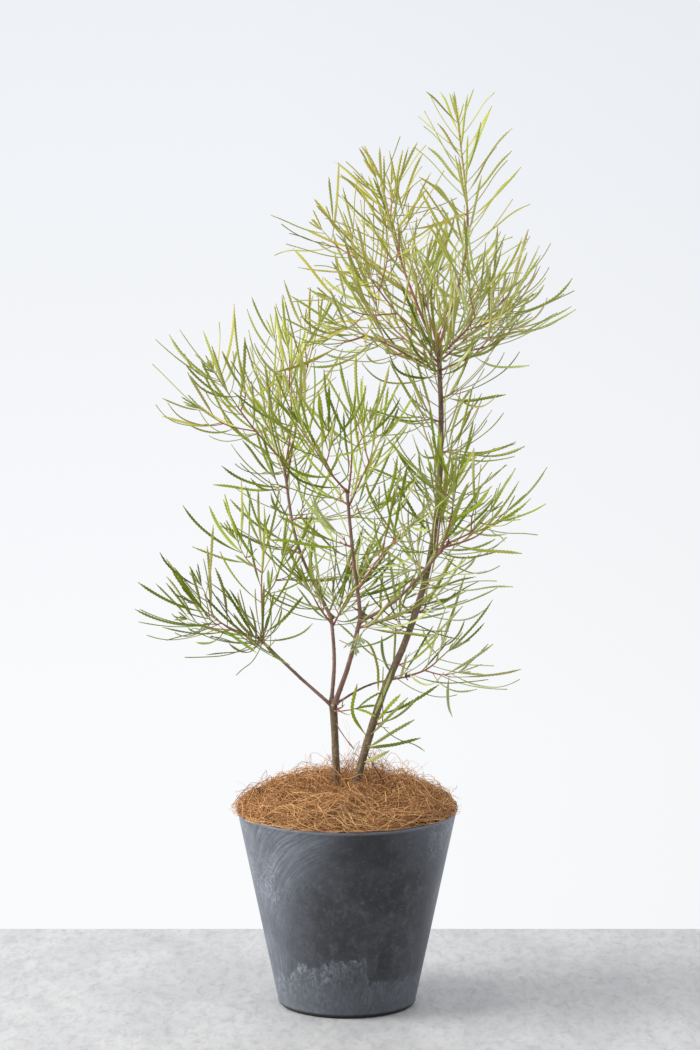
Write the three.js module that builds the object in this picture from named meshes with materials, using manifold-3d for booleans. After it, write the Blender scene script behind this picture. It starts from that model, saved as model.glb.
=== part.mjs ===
// Potted hairpin banksia: two slender stems in a tapered pot, with boughs and sprays of narrow leaves
import * as THREE from "three";
import { mergeVertices } from "three/addons/utils/BufferGeometryUtils.js";
import Module from "manifold-3d";

const wasm = await Module();
wasm.setup();

// Millimetres. Z is up, Y runs away from the viewer, the origin is the centre of the pot's underside
const gap = 0.3; // between pieces that rest on each other
const sliver = 0.02; // edges shorter than this are taken out of a joined piece
const goldenAngle = THREE.MathUtils.degToRad(137.5);
const up = new THREE.Vector3(0, 0, 1);

const pot = {
  height: 217,
  rimRadius: 120,
  baseRadius: 75,
  wall: 5,
  floor: 8,
  footHeight: 2,
  footInset: 3,
  cornerWidth: 2.5,
  cornerHeight: 5,
  cornerSteps: 3,
  lipRadius: 1.5,
  sides: 40,
};

const soil = {
  top: 200,
  sides: 32,
};

// The mound of coir: radii and heights of its shoulder and crown, and the waves of its loose surface
const coir = {
  spillRadius: 117,
  shoulderRadius: 119,
  shoulderHeight: 227,
  crownHeight: 258,
  crownSteps: 5,
  waveHeight: 3,
  waves: 5,
  waveLength: 21,
  stillRadius: 45, // the waves die away inside this radius
  sides: 32,
};

const flareReach = 14; // how soon a stem's flare dies away above its foot
const knotReach = 9; // and the swelling where boughs leave its tip
const bough = { sides: 6, steps: 8 };

// Limbs: a stem stands in the soil, and a bough starts on another limb, back from that limb's tip
const limbs = {
  stem_left: {
    path: [[-10, 8, 190], [-12, 8, 265], [-15, 12, 333]],
    radius: [4.2, 3.8],
    flare: 2.8,
    knot: 1.2,
    sides: 10,
    steps: 12,
  },
  stem_right: {
    path: [
      [-3, -13, 190],
      [12, -12, 256],
      [37, -6, 340],
      [67, 6, 411],
      [87, 14, 477],
      [98, 17, 546],
      [102, 13, 630],
      [99, 5, 722],
    ],
    radius: [4.6, 2.4],
    flare: 3.2,
    knot: 1.0,
    sides: 10,
    steps: 26,
  },
  bough_far_left: {
    on: "stem_left",
    back: 4,
    shift: [-1, -1, 0],
    path: [[-56, 3, 367], [-95, -10, 408]],
    radius: [1.9, 1.5],
  },
  bough_centre_left: {
    on: "stem_left",
    back: 0,
    shift: [-2, 2, 0],
    path: [[-14, 26, 377], [-17, 40, 421]],
    radius: [2.1, 1.9],
  },
  bough_centre: {
    on: "stem_left",
    back: 0,
    shift: [2, -2, 0],
    path: [[2, 0, 378], [15, -10, 432]],
    radius: [2.7, 2.3],
  },
  bough_low_right: {
    on: "stem_left",
    back: 3,
    path: [[24, 24, 350], [65, 36, 357]],
    radius: [1.3, 0.9],
  },
  bough_left_upper: {
    on: "bough_centre_left",
    back: 0,
    path: [[-54, 64, 499], [-70, 85, 588]],
    radius: [1.8, 1.4],
    steps: 12,
  },
  bough_centre_upper: {
    on: "bough_centre",
    back: 0,
    path: [[6, -30, 510], [0, -46, 574]],
    radius: [2.0, 1.6],
    steps: 12,
  },
  bough_crossing: {
    on: "bough_centre",
    back: 7,
    path: [[53, -20, 452], [109, -42, 518]],
    radius: [1.7, 1.4],
    steps: 12,
  },
};

// Sprays: one stem each, starting on a limb; path is its middle and its tip
const sprays = {
  spray_left_low: {
    on: "bough_far_left", back: 0, path: [[-128, -30, 424], [-164, -55, 455]], twigs: 3, leaves: 20,
  },
  spray_left_rising: {
    on: "bough_far_left", back: 7, path: [[-93, 10, 457], [-91, 35, 520]], twigs: 2, leaves: 20,
  },
  spray_upper_left: {
    on: "bough_left_upper", back: 0, path: [[-106, 70, 632], [-145, 45, 693]], twigs: 3, leaves: 26,
  },
  spray_upper_back: {
    on: "bough_left_upper", back: 6, path: [[-80, 112, 625], [-86, 135, 665]], twigs: 1, leaves: 14,
  },
  spray_upper_top: {
    on: "bough_left_upper", back: 12, path: [[-61, 92, 650], [-80, 108, 724]], twigs: 2, leaves: 22,
  },
  spray_upper_gold: {
    on: "bough_left_upper", back: 24, path: [[-48, 118, 670], [-30, 150, 738]], twigs: 2, leaves: 22,
  },
  spray_inner_left: {
    on: "bough_centre_left", back: 6, path: [[-30, 24, 436], [-44, 14, 466]], twigs: 0, leaves: 9,
  },
  spray_inner_back: {
    on: "bough_centre_left", back: 10, path: [[-4, 60, 432], [9, 72, 455]], twigs: 0, leaves: 9,
  },
  spray_centre_left: {
    on: "bough_centre_upper", back: 0, path: [[-21, -72, 603], [-50, -105, 656]], twigs: 2, leaves: 19,
  },
  spray_centre_top: {
    on: "bough_centre_upper", back: 9, path: [[5, -62, 610], [4, -84, 655]], twigs: 1, leaves: 18,
  },
  spray_centre_right: {
    on: "bough_centre_upper", back: 18, path: [[20, -44, 598], [39, -34, 636]], twigs: 1, leaves: 17,
  },
  spray_centre_side: {
    on: "bough_centre_upper", back: 115, path: [[38, -50, 507], [69, -95, 547]], twigs: 2, leaves: 20,
  },
  spray_centre_back: {
    on: "bough_centre", back: 14, path: [[39, 20, 423], [64, 55, 441]], twigs: 0, leaves: 10,
  },
  spray_right_front: {
    on: "bough_crossing", back: 0, path: [[134, -62, 534], [153, -80, 558]], twigs: 2, leaves: 19,
  },
  spray_right_back: {
    on: "bough_crossing", back: 7, path: [[140, -20, 522], [161, 8, 538]], twigs: 1, leaves: 16,
  },
  spray_right_rising: {
    on: "bough_crossing", back: 13, path: [[112, -72, 555], [113, -95, 600]], twigs: 1, leaves: 18,
  },
  spray_right_inner: {
    on: "bough_crossing", back: 22, path: [[100, -38, 540], [108, -24, 578]], twigs: 0, leaves: 12,
  },
  spray_low_right: {
    on: "bough_low_right", back: 0, path: [[88, 45, 364], [113, 60, 383]], twigs: 2, leaves: 18,
  },
  spray_leader: {
    on: "stem_right", back: 0, path: [[129, 16, 835], [119, 15, 970]], twigs: 0, leaves: 42, thick: 1.5,
  },
  spray_top_main: {
    on: "stem_right", back: 10, path: [[63, 20, 802], [30, 35, 908]], twigs: 3, leaves: 38, thick: 1.4,
  },
  spray_top_far_left: {
    on: "stem_right", back: 17, path: [[33, -18, 790], [-18, -40, 867]], twigs: 3, leaves: 28,
  },
  spray_top_mid_left: {
    on: "stem_right", back: 21, path: [[52, 40, 739], [11, 75, 777]], twigs: 2, leaves: 22,
  },
  spray_top_low_left: {
    on: "stem_right", back: 26, path: [[42, -40, 733], [-11, -75, 759]], twigs: 3, leaves: 26,
  },
  spray_top_right_front: {
    on: "stem_right", back: 9, path: [[132, -36, 754], [149, -75, 798]], twigs: 2, leaves: 20,
  },
  spray_top_right_back: {
    on: "stem_right", back: 14, path: [[141, 48, 740], [174, 95, 775]], twigs: 2, leaves: 22,
  },
  spray_top_right: {
    on: "stem_right", back: 24, path: [[145, -10, 722], [180, -20, 748]], twigs: 2, leaves: 20,
  },
  spray_top_back: {
    on: "stem_right", back: 6, path: [[88, 52, 760], [75, 105, 806]], twigs: 2, leaves: 20,
  },
};

// Spurs: short sprays straight off a limb, each at a height and a compass heading, 0 to the right
const spur = {
  reach: 22,
  rise: 16,
  places: [
    { on: "stem_right", height: 692, heading: 260, leaves: 9 },
    { on: "stem_right", height: 668, heading: 10, leaves: 9 },
    { on: "stem_right", height: 642, heading: 215, leaves: 9 },
    { on: "stem_right", height: 608, heading: 330, leaves: 9 },
    { on: "stem_right", height: 572, heading: 120, leaves: 9 },
    { on: "stem_right", height: 536, heading: 60, leaves: 9 },
    { on: "stem_right", height: 500, heading: 350, leaves: 9 },
    { on: "stem_right", height: 464, heading: 300, leaves: 9 },
    { on: "stem_right", height: 432, heading: 30, leaves: 8 },
    { on: "stem_right", height: 312, heading: 340, leaves: 6 },
    { on: "stem_left", height: 325, heading: 325, leaves: 3 },
    { on: "bough_left_upper", height: 560, heading: 215, leaves: 9 },
    { on: "bough_left_upper", height: 526, heading: 340, leaves: 9 },
    { on: "bough_left_upper", height: 490, heading: 170, leaves: 9 },
    { on: "bough_left_upper", height: 456, heading: 60, leaves: 8 },
    { on: "bough_centre_upper", height: 546, heading: 20, leaves: 9 },
    { on: "bough_centre_upper", height: 512, heading: 200, leaves: 9 },
    { on: "bough_centre_upper", height: 484, heading: 120, leaves: 8 },
    { on: "bough_crossing", height: 466, heading: 70, leaves: 8 },
  ],
};

// A leaf, and how twigs and leaves stand on what bears them
const leaf = {
  length: 82,
  lengths: [0.85, 1.1], // shares of the length, dealt out at random
  width: 5.6,
  thickness: 1.6,
  widest: 0.42, // as a share of its length
  baseAngle: 60,
  tipAngle: 34,
  angleSpread: 12,
  turnSpread: 0.6, // radians
  sweep: 0.55, // how far the outer half turns towards the twig's tip
  lift: 0.18, // and towards the light
  youngFrom: 0.75, // leaves beyond this share of the twig are young and shorter
  youngest: 0.42, // length of the youngest leaves against the oldest
  foot: 0.14, // bare share of a spray's stem
  twigFoot: 0.25, // bare share of a side twig
  spurFoot: 0.35,
  crowding: 0.9, // below 1, leaves stand closer at the tip
  trySizes: [1, 0.84, 0.7], // a leaf that would touch something is tried shorter, then skipped
  kept: { foot: 0.12, waist: 0.4, neck: 0.6, slim: 0.22, full: 0.5 }, // where and how wide it is kept clear
};
const twig = {
  sides: 3,
  steps: 6,
  sideSteps: 2,
  radius: [1.3, 0.7],
  sideRadius: [0.9, 0.6],
  angle: [36, 50],
  first: 0.3,
  last: 0.8,
  jitter: [0.2, 0.8],
  lengthShare: 0.55,
  shortest: 20,
  sweep: 0.5,
  lift: 0.25,
};
const turnSeed = 500; // the series that gives each spray's first twig its heading
const leafSeed = 31; // and the one that deals out its leaves
const interlace = 26; // how far a leaf may pass the half-way surface to the next spray's stem

const colours = {
  pot: 0x5a6068,
  soil: 0x3a2e26,
  coir: 0xa87545,
  bark: 0x5f4c40,
  bough: 0x6a4640,
  foliage: [0x74893a, 0x8f9e44, 0x66823a, 0xa3ab4c],
};
const roughness = { pot: 0.6, soil: 1, coir: 1, bark: 0.85, foliage: 0.7 };

// A repeatable series of numbers from 0 to 1
const series = { modulus: 2147483647, multiplier: 16807, stride: 7919, offset: 17 };
function numberSeries(seed) {
  let state = (seed * series.stride + series.offset) % series.modulus;
  return () => {
    state = (state * series.multiplier) % series.modulus;
    return state / series.modulus;
  };
}

function toVector(point) {
  return new THREE.Vector3(...point);
}

function toSolid(geometry) {
  const bare = new THREE.BufferGeometry();
  bare.setAttribute("position", geometry.getAttribute("position"));
  bare.setIndex(geometry.getIndex());
  const merged = mergeVertices(bare, 1e-4);
  const corners = merged.getIndex().array;
  const faces = [];
  for (let i = 0; i < corners.length; i += 3) {
    const [a, b, c] = corners.slice(i, i + 3);
    if (a !== b && b !== c && c !== a) faces.push(a, b, c);
  }
  return new wasm.Manifold(
    new wasm.Mesh({
      numProp: 3,
      vertProperties: new Float32Array(merged.getAttribute("position").array),
      triVerts: new Uint32Array(faces),
    }),
  );
}

function toGeometry(solid) {
  const mesh = solid.getMesh();
  const geometry = new THREE.BufferGeometry();
  geometry.setAttribute("position", new THREE.BufferAttribute(mesh.vertProperties, 3));
  geometry.setIndex(new THREE.BufferAttribute(mesh.triVerts, 1));
  const flat = geometry.toNonIndexed();
  flat.computeVertexNormals();
  return flat;
}

// Joins solids two by two, drops slivers, then keeps the one main body
function joinAll(solids) {
  let list = solids;
  while (list.length > 1) {
    const next = [];
    for (let i = 0; i < list.length; i += 2) {
      next.push(i + 1 < list.length ? list[i].add(list[i + 1]) : list[i]);
    }
    list = next;
  }
  const whole = list[0].simplify(sliver);
  return whole.decompose().reduce((a, b) => (a.volume() > b.volume() ? a : b));
}

function lathe(profile, sides) {
  const points = profile.map(([radius, height]) => new THREE.Vector2(radius, height));
  return new THREE.LatheGeometry(points, sides).rotateX(Math.PI / 2);
}

// Bends a cylinder along a curve, with a radius for each share of the way
function tube(curve, radiusAt, sides, steps) {
  const geometry = new THREE.CylinderGeometry(1, 1, 1, sides, steps);
  const frames = curve.computeFrenetFrames(steps);
  const position = geometry.getAttribute("position");
  for (let i = 0; i < position.count; i += 1) {
    const share = position.getY(i) + 0.5;
    const ring = Math.round(share * steps);
    const point = curve
      .getPointAt(ring / steps)
      .addScaledVector(frames.normals[ring], position.getX(i) * radiusAt(ring / steps))
      .addScaledVector(frames.binormals[ring], -position.getZ(i) * radiusAt(ring / steps));
    position.setXYZ(i, point.x, point.y, point.z);
  }
  return geometry;
}

// A limb's radius: its taper, the flare at a stem's foot and the knot where boughs leave it
function limbRadius(limb, length, extra) {
  return (share) => {
    const taper = THREE.MathUtils.lerp(limb.radius[0], limb.radius[1], share);
    const flare = (limb.flare ?? 0) * Math.exp((-share * length) / flareReach);
    const knot = (limb.knot ?? 0) * Math.exp((-(1 - share) * length) / knotReach);
    return taper + flare + knot + extra;
  };
}

function backFromTip(curve, distance) {
  return 1 - distance / curve.getLength();
}

function curveOf(part, curves) {
  const points = part.path.map(toVector);
  if (part.on) {
    const parent = curves[part.on];
    const start = parent.getPointAt(backFromTip(parent, part.back));
    points.unshift(start.add(toVector(part.shift ?? [0, 0, 0])));
  }
  return new THREE.CatmullRomCurve3(points);
}

// Longer by a little at both ends, for cutting a seat
function lengthened(curve, extra) {
  const points = curve.points.map((point) => point.clone());
  points[0].addScaledVector(curve.getTangentAt(0), -extra);
  points[points.length - 1].addScaledVector(curve.getTangentAt(1), extra);
  return new THREE.CatmullRomCurve3(points);
}

function limbSolid(limb, curve, extra) {
  const path = extra ? lengthened(curve, extra) : curve;
  const radiusAt = limbRadius(limb, curve.getLength(), extra);
  return toSolid(tube(path, radiusAt, limb.sides ?? bough.sides, limb.steps ?? bough.steps));
}

// Straight pieces of a curve with their thickness, for keeping things clear of each other
function reachOf(curve, radiusAt, steps, owner) {
  const list = [];
  for (let i = 0; i < steps; i += 1) {
    list.push({
      from: curve.getPointAt(i / steps),
      to: curve.getPointAt((i + 1) / steps),
      radius: radiusAt(i / steps),
      owner,
    });
  }
  return list;
}

function distanceBetween(a, b) {
  const first = new THREE.Vector3().subVectors(a.to, a.from);
  const second = new THREE.Vector3().subVectors(b.to, b.from);
  const across = new THREE.Vector3().subVectors(a.from, b.from);
  const aa = first.dot(first);
  const bb = second.dot(second);
  const ab = first.dot(second);
  const ac = first.dot(across);
  const bc = second.dot(across);
  const clamp = (value) => THREE.MathUtils.clamp(value, 0, 1);
  const denominator = aa * bb - ab * ab;
  let s = denominator > 1e-9 ? clamp((ab * bc - ac * bb) / denominator) : 0;
  const t = clamp((ab * s + bc) / bb);
  s = clamp((ab * t - ac) / aa);
  const onFirst = a.from.clone().addScaledVector(first, s);
  const onSecond = b.from.clone().addScaledVector(second, t);
  return onFirst.distanceTo(onSecond);
}

function isClear(pieces, others, owner = "nothing") {
  return pieces.every((piece) =>
    others.every(
      (other) => other.owner === owner || distanceBetween(piece, other) > piece.radius + other.radius + gap,
    ),
  );
}

// A direction that leaves the line `along` at an angle, turned round it
function leaning(along, angle, turn) {
  const side = new THREE.Vector3().crossVectors(along, up);
  if (side.lengthSq() < 1e-4) side.set(1, 0, 0);
  side.normalize().applyAxisAngle(along, turn);
  return along.clone().multiplyScalar(Math.cos(angle)).addScaledVector(side, Math.sin(angle));
}

// The outer half of a twig or leaf turns on towards the tip of what bears it, and up
function swept(direction, along, kind) {
  return direction.clone().addScaledVector(along, kind.sweep).addScaledVector(up, kind.lift).normalize();
}

// A leaf: a three-sided blade from a point inside its twig, flat above, keeled below, and curved
function leafShape(start, direction, endDirection, length) {
  const middle = start.clone().addScaledVector(direction, length * leaf.widest);
  const tip = middle.clone().addScaledVector(endDirection, length * (1 - leaf.widest));
  const side = new THREE.Vector3().crossVectors(direction, endDirection).normalize();
  const face = new THREE.Vector3().crossVectors(side, direction).normalize();
  const geometry = new THREE.SphereGeometry(1, 3, 2);
  const position = geometry.getAttribute("position");
  for (let i = 0; i < position.count; i += 1) {
    const row = Math.round(position.getY(i)) + 1;
    const point = [start, middle, tip][row]
      .clone()
      .addScaledVector(side, (-position.getZ(i) * leaf.width) / Math.sqrt(3))
      .addScaledVector(face, (position.getX(i) * leaf.thickness) / 1.5);
    position.setXYZ(i, point.x, point.y, point.z);
  }
  const foot = start.clone().lerp(middle, leaf.kept.foot);
  const waist = start.clone().lerp(middle, leaf.kept.waist);
  const neck = middle.clone().lerp(tip, leaf.kept.neck);
  const pieces = [
    { from: foot, to: waist, radius: leaf.kept.slim * leaf.width },
    { from: waist, to: neck, radius: leaf.kept.full * leaf.width },
    { from: neck, to: tip, radius: leaf.kept.slim * leaf.width },
  ];
  return { geometry, pieces, tip };
}

// Side twigs leave the spray's stem in turn round it, and bend on towards its tip and the light
function sideTwigs(spray, stem, random) {
  const list = [];
  const length = stem.getLength();
  for (let i = 0; i < spray.twigs; i += 1) {
    const row = (i + THREE.MathUtils.lerp(...twig.jitter, random())) / spray.twigs;
    const place = THREE.MathUtils.lerp(twig.first, twig.last, row);
    const angle = THREE.MathUtils.degToRad(THREE.MathUtils.lerp(...twig.angle, random()));
    const along = stem.getTangentAt(place);
    const first = leaning(along, angle, goldenAngle * i + spray.turn);
    const second = swept(first, along, twig);
    const reach = length * (1 - place) * twig.lengthShare + twig.shortest;
    const start = stem.getPointAt(place);
    const middle = start.clone().addScaledVector(first, reach / 2);
    const end = middle.clone().addScaledVector(second, reach / 2);
    list.push(new THREE.CatmullRomCurve3([start, middle, end]));
  }
  return list;
}

function nearestStem(point, pieces) {
  const distances = pieces.map(({ from, to }) => {
    const nearest = new THREE.Line3(from, to).closestPointToPoint(point, true, new THREE.Vector3());
    return nearest.distanceTo(point);
  });
  return Math.min(...distances);
}

// Leaves stand in a spiral on a twig, open at its foot and closed up at its tip
function leavesOn(curve, count, foot, random, accept) {
  const solids = [];
  for (let i = 0; i < count; i += 1) {
    const place = THREE.MathUtils.lerp(foot, 1, ((i + 0.5) / count) ** leaf.crowding);
    const along = curve.getTangentAt(place);
    const spread = leaf.angleSpread * (random() - 0.5);
    const angle = THREE.MathUtils.lerp(leaf.baseAngle, leaf.tipAngle, place) + spread;
    const turn = goldenAngle * i + leaf.turnSpread * random();
    const direction = leaning(along, THREE.MathUtils.degToRad(angle), turn);
    const end = swept(direction, along, leaf);
    const young = THREE.MathUtils.smoothstep(place, leaf.youngFrom, 1);
    const age = THREE.MathUtils.lerp(1, leaf.youngest, young);
    const full = leaf.length * THREE.MathUtils.lerp(...leaf.lengths, random()) * age;
    for (const share of leaf.trySizes) {
      const shape = leafShape(curve.getPointAt(place), direction, end, full * share);
      if (accept(shape)) {
        solids.push(toSolid(shape.geometry));
        break;
      }
    }
  }
  return solids;
}

function buildPot() {
  const slope = (pot.rimRadius - pot.baseRadius) / (pot.height - pot.footHeight);
  const outerAt = (height) => pot.baseRadius + slope * (height - pot.footHeight);
  const innerAt = (height) => outerAt(height) - pot.wall;
  const profile = [
    [0, 0],
    [pot.baseRadius - pot.footInset, 0],
    [pot.baseRadius - pot.footInset, pot.footHeight],
  ];
  for (let i = 0; i <= pot.cornerSteps; i += 1) {
    const turn = (i / pot.cornerSteps) * (Math.PI / 2);
    profile.push([
      outerAt(pot.footHeight + pot.cornerHeight) - pot.cornerWidth * (1 - Math.sin(turn)),
      pot.footHeight + pot.cornerHeight * (1 - Math.cos(turn)),
    ]);
  }
  profile.push([outerAt(pot.height - pot.lipRadius), pot.height - pot.lipRadius]);
  profile.push([pot.rimRadius - pot.lipRadius, pot.height]);
  profile.push([innerAt(pot.height) + pot.lipRadius, pot.height]);
  profile.push([innerAt(pot.height - pot.lipRadius), pot.height - pot.lipRadius]);
  profile.push([innerAt(pot.floor), pot.floor]);
  profile.push([0, pot.floor]);
  return { geometry: lathe(profile, pot.sides), innerAt };
}

function buildSoil(innerAt) {
  const bottom = pot.floor + gap;
  const profile = [
    [0, bottom],
    [innerAt(bottom) - 2 * gap, bottom],
    [innerAt(soil.top) - 2 * gap, soil.top],
    [0, soil.top],
  ];
  return lathe(profile, soil.sides);
}

// The mound fills the pot's mouth over the soil and spills a little onto the rim
function buildCoir(innerAt) {
  const bottom = soil.top + gap;
  const overRim = pot.height + 2 * gap;
  const profile = [
    [0, bottom],
    [innerAt(bottom) - 3 * gap, bottom],
    [innerAt(pot.height) - 4 * gap, overRim],
    [coir.spillRadius, overRim + 1],
    [coir.shoulderRadius, coir.shoulderHeight],
  ];
  const rise = coir.crownHeight - coir.shoulderHeight;
  for (let i = 1; i <= coir.crownSteps; i += 1) {
    const turn = (i / coir.crownSteps) * (Math.PI / 2);
    profile.push([coir.shoulderRadius * Math.cos(turn), coir.shoulderHeight + rise * Math.sin(turn)]);
  }
  const geometry = lathe(profile, coir.sides);
  const position = geometry.getAttribute("position");
  for (let i = 0; i < position.count; i += 1) {
    const [x, y, z] = [position.getX(i), position.getY(i), position.getZ(i)];
    const out = Math.hypot(x, y);
    const high = THREE.MathUtils.smoothstep(z, coir.shoulderHeight - 7, coir.shoulderHeight + 6);
    const wavy = high * THREE.MathUtils.smoothstep(out, 0, coir.stillRadius);
    const turn = Math.atan2(y, x) * coir.waves;
    position.setZ(i, z + wavy * coir.waveHeight * Math.sin(turn + out / coir.waveLength));
  }
  return geometry;
}

const plant = new THREE.Group();

function addPiece(name, geometry, colour, rough) {
  const material = new THREE.MeshStandardMaterial({ color: colour, roughness: rough, metalness: 0 });
  const mesh = new THREE.Mesh(geometry, material);
  mesh.name = name;
  plant.add(mesh);
}

const shell = buildPot();
addPiece("pot", toGeometry(toSolid(shell.geometry)), colours.pot, roughness.pot);
addPiece("soil", toGeometry(toSolid(buildSoil(shell.innerAt))), colours.soil, roughness.soil);

// Limbs: each is cut clear of the limbs before it, and a stem's foot is cut flat at the soil
const cutDepth = 40;
const limbPieces = 16; // straight pieces that stand for a limb when things are kept clear of it
const stemPieces = 8; // and for a spray's stem
const twigPieces = 4; // and for a side twig
const groundCut = toSolid(
  new THREE.BoxGeometry(2 * pot.rimRadius, 2 * pot.rimRadius, cutDepth).translate(
    0,
    0,
    soil.top + gap - cutDepth / 2,
  ),
);
const curves = {};
const seats = {};
const taken = [];
for (const [name, limb] of Object.entries(limbs)) {
  curves[name] = curveOf(limb, curves);
  const cuts = limb.on ? Object.values(seats) : [groundCut];
  const solid = cuts.reduce((rest, cut) => rest.subtract(cut), limbSolid(limb, curves[name], 0));
  seats[name] = limbSolid(limb, curves[name], gap);
  addPiece(name, toGeometry(joinAll([solid])), limb.on ? colours.bough : colours.bark, roughness.bark);
  const radiusAt = limbRadius(limb, curves[name].getLength(), 0);
  taken.push(...reachOf(curves[name], radiusAt, limbPieces, name));
}

const moundSolid = toSolid(buildCoir(shell.innerAt)).subtract(seats.stem_left).subtract(seats.stem_right);
addPiece("coir_mulch", toGeometry(joinAll([moundSolid])), colours.coir, roughness.coir);

function shareAtHeight(curve, height) {
  let [low, high] = [0, 1];
  for (let i = 0; i < 20; i += 1) {
    const middle = (low + high) / 2;
    if (curve.getPointAt(middle).z < height) low = middle;
    else high = middle;
  }
  return low;
}

spur.places.forEach(({ on, height, heading, leaves }, i) => {
  const share = shareAtHeight(curves[on], height);
  const base = curves[on].getPointAt(share);
  const turn = THREE.MathUtils.degToRad(heading);
  const place = (out) => [
    base.x + spur.reach * out * Math.cos(turn),
    base.y + spur.reach * out * Math.sin(turn),
    base.z + spur.rise * out * out,
  ];
  const back = curves[on].getLength() * (1 - share);
  sprays[`spur_${i + 1}`] = { on, back, path: [place(0.5), place(1)], twigs: 0, leaves, short: true };
});

// Every spray's stem is laid out first, so that all leaves keep clear of all stems
const stems = {};
Object.entries(sprays).forEach(([name, spray], i) => {
  spray.seed = i + 1;
  spray.turn = 2 * Math.PI * numberSeries(spray.seed + turnSeed)();
  spray.radius = [twig.radius[0] * (spray.thick ?? 1), twig.radius[1]];
  const curve = curveOf(spray, curves);
  stems[name] = curve;
  const radiusAt = (share) => THREE.MathUtils.lerp(...spray.radius, share);
  spray.pieces = reachOf(curve, radiusAt, stemPieces, name);
  taken.push(...spray.pieces);
});

function buildSpray(name, spray) {
  const stem = stems[name];
  const others = Object.entries(sprays)
    .filter(([other]) => other !== name)
    .flatMap(([, other]) => other.pieces);
  const grown = [];
  const accept = (shape) => {
    const own = nearestStem(shape.tip, spray.pieces);
    const next = nearestStem(shape.tip, others);
    if (own > next + interlace) return false;
    if (!isClear(shape.pieces, taken, name) || !isClear(shape.pieces, grown)) return false;
    grown.push(...shape.pieces);
    return true;
  };
  const stemRadius = (share) => THREE.MathUtils.lerp(...spray.radius, share);
  const steps = spray.short ? twig.sideSteps : twig.steps;
  const solids = [toSolid(tube(stem, stemRadius, twig.sides, steps)).subtract(seats[spray.on])];
  const shoots = [{ curve: stem, foot: spray.short ? leaf.spurFoot : leaf.foot }];
  const sideRadius = (share) => THREE.MathUtils.lerp(...twig.sideRadius, share);
  for (const curve of sideTwigs(spray, stem, numberSeries(spray.seed))) {
    if (!isClear(reachOf(curve, sideRadius, twigPieces, name), taken, name)) continue;
    solids.push(toSolid(tube(curve, sideRadius, twig.sides, twig.sideSteps)));
    shoots.push({ curve, foot: leaf.twigFoot });
  }
  const total = shoots.reduce((sum, shoot) => sum + shoot.curve.getLength(), 0);
  shoots.forEach((shoot, i) => {
    const count = Math.round((spray.leaves * shoot.curve.getLength()) / total);
    const random = numberSeries(spray.seed * leafSeed + i);
    solids.push(...leavesOn(shoot.curve, count, shoot.foot, random, accept));
  });
  taken.push(...grown.map((piece) => ({ ...piece, owner: name })));
  return joinAll(solids);
}

Object.entries(sprays).forEach(([name, spray], i) => {
  const colour = colours.foliage[i % colours.foliage.length];
  addPiece(name, toGeometry(buildSpray(name, spray)), colour, roughness.foliage);
});

export default plant;
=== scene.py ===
import functools
import math

import bpy
import numpy as np
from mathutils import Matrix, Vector, noise


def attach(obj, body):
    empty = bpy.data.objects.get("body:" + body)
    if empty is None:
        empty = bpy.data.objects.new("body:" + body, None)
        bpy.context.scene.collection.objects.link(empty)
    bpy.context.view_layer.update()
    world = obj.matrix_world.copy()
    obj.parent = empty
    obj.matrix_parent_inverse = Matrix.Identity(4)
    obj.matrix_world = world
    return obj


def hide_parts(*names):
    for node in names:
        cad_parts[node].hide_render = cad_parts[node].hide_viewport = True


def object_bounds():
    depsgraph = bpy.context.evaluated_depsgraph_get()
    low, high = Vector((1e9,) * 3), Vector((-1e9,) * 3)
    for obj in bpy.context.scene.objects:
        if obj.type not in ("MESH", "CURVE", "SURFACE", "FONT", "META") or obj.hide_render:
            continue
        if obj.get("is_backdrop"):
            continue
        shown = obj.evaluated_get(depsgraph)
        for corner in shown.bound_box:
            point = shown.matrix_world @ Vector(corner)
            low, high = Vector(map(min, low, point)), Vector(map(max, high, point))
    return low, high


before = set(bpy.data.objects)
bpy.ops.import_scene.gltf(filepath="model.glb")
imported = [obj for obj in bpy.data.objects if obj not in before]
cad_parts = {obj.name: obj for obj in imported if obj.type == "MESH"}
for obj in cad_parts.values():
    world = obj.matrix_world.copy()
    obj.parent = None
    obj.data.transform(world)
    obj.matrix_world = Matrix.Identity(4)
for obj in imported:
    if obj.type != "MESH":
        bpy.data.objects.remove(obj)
cadLow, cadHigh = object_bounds()
print("frame loaded:", len(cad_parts), "nodes")

mm = 0.001
goldenAngle = math.radians(137.5)
upward = np.array([0.0, 0.0, 1.0])


# Small sums that all the pieces share
def lerp(pair, share):
    return pair[0] + (pair[1] - pair[0]) * share


def easeBetween(value, low, high):
    share = np.clip((np.asarray(value, float) - low) / (high - low), 0, 1)
    return share * share * (3 - 2 * share)


def unit(vector):
    return vector / max(np.linalg.norm(vector), 1e-9)


def unitRows(rows):
    return rows / np.maximum(np.linalg.norm(rows, axis=1, keepdims=True), 1e-9)


# The repeatable series of numbers that the solids are grown by
series = {"modulus": 2147483647, "multiplier": 16807, "stride": 7919, "offset": 17}


def numberSeries(seed):
    state = (seed * series["stride"] + series["offset"]) % series["modulus"]
    while True:
        state = state * series["multiplier"] % series["modulus"]
        yield state / series["modulus"]


# A smooth line through the points, passed over at an even pace
curveSamples = 50  # on each span


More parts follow.
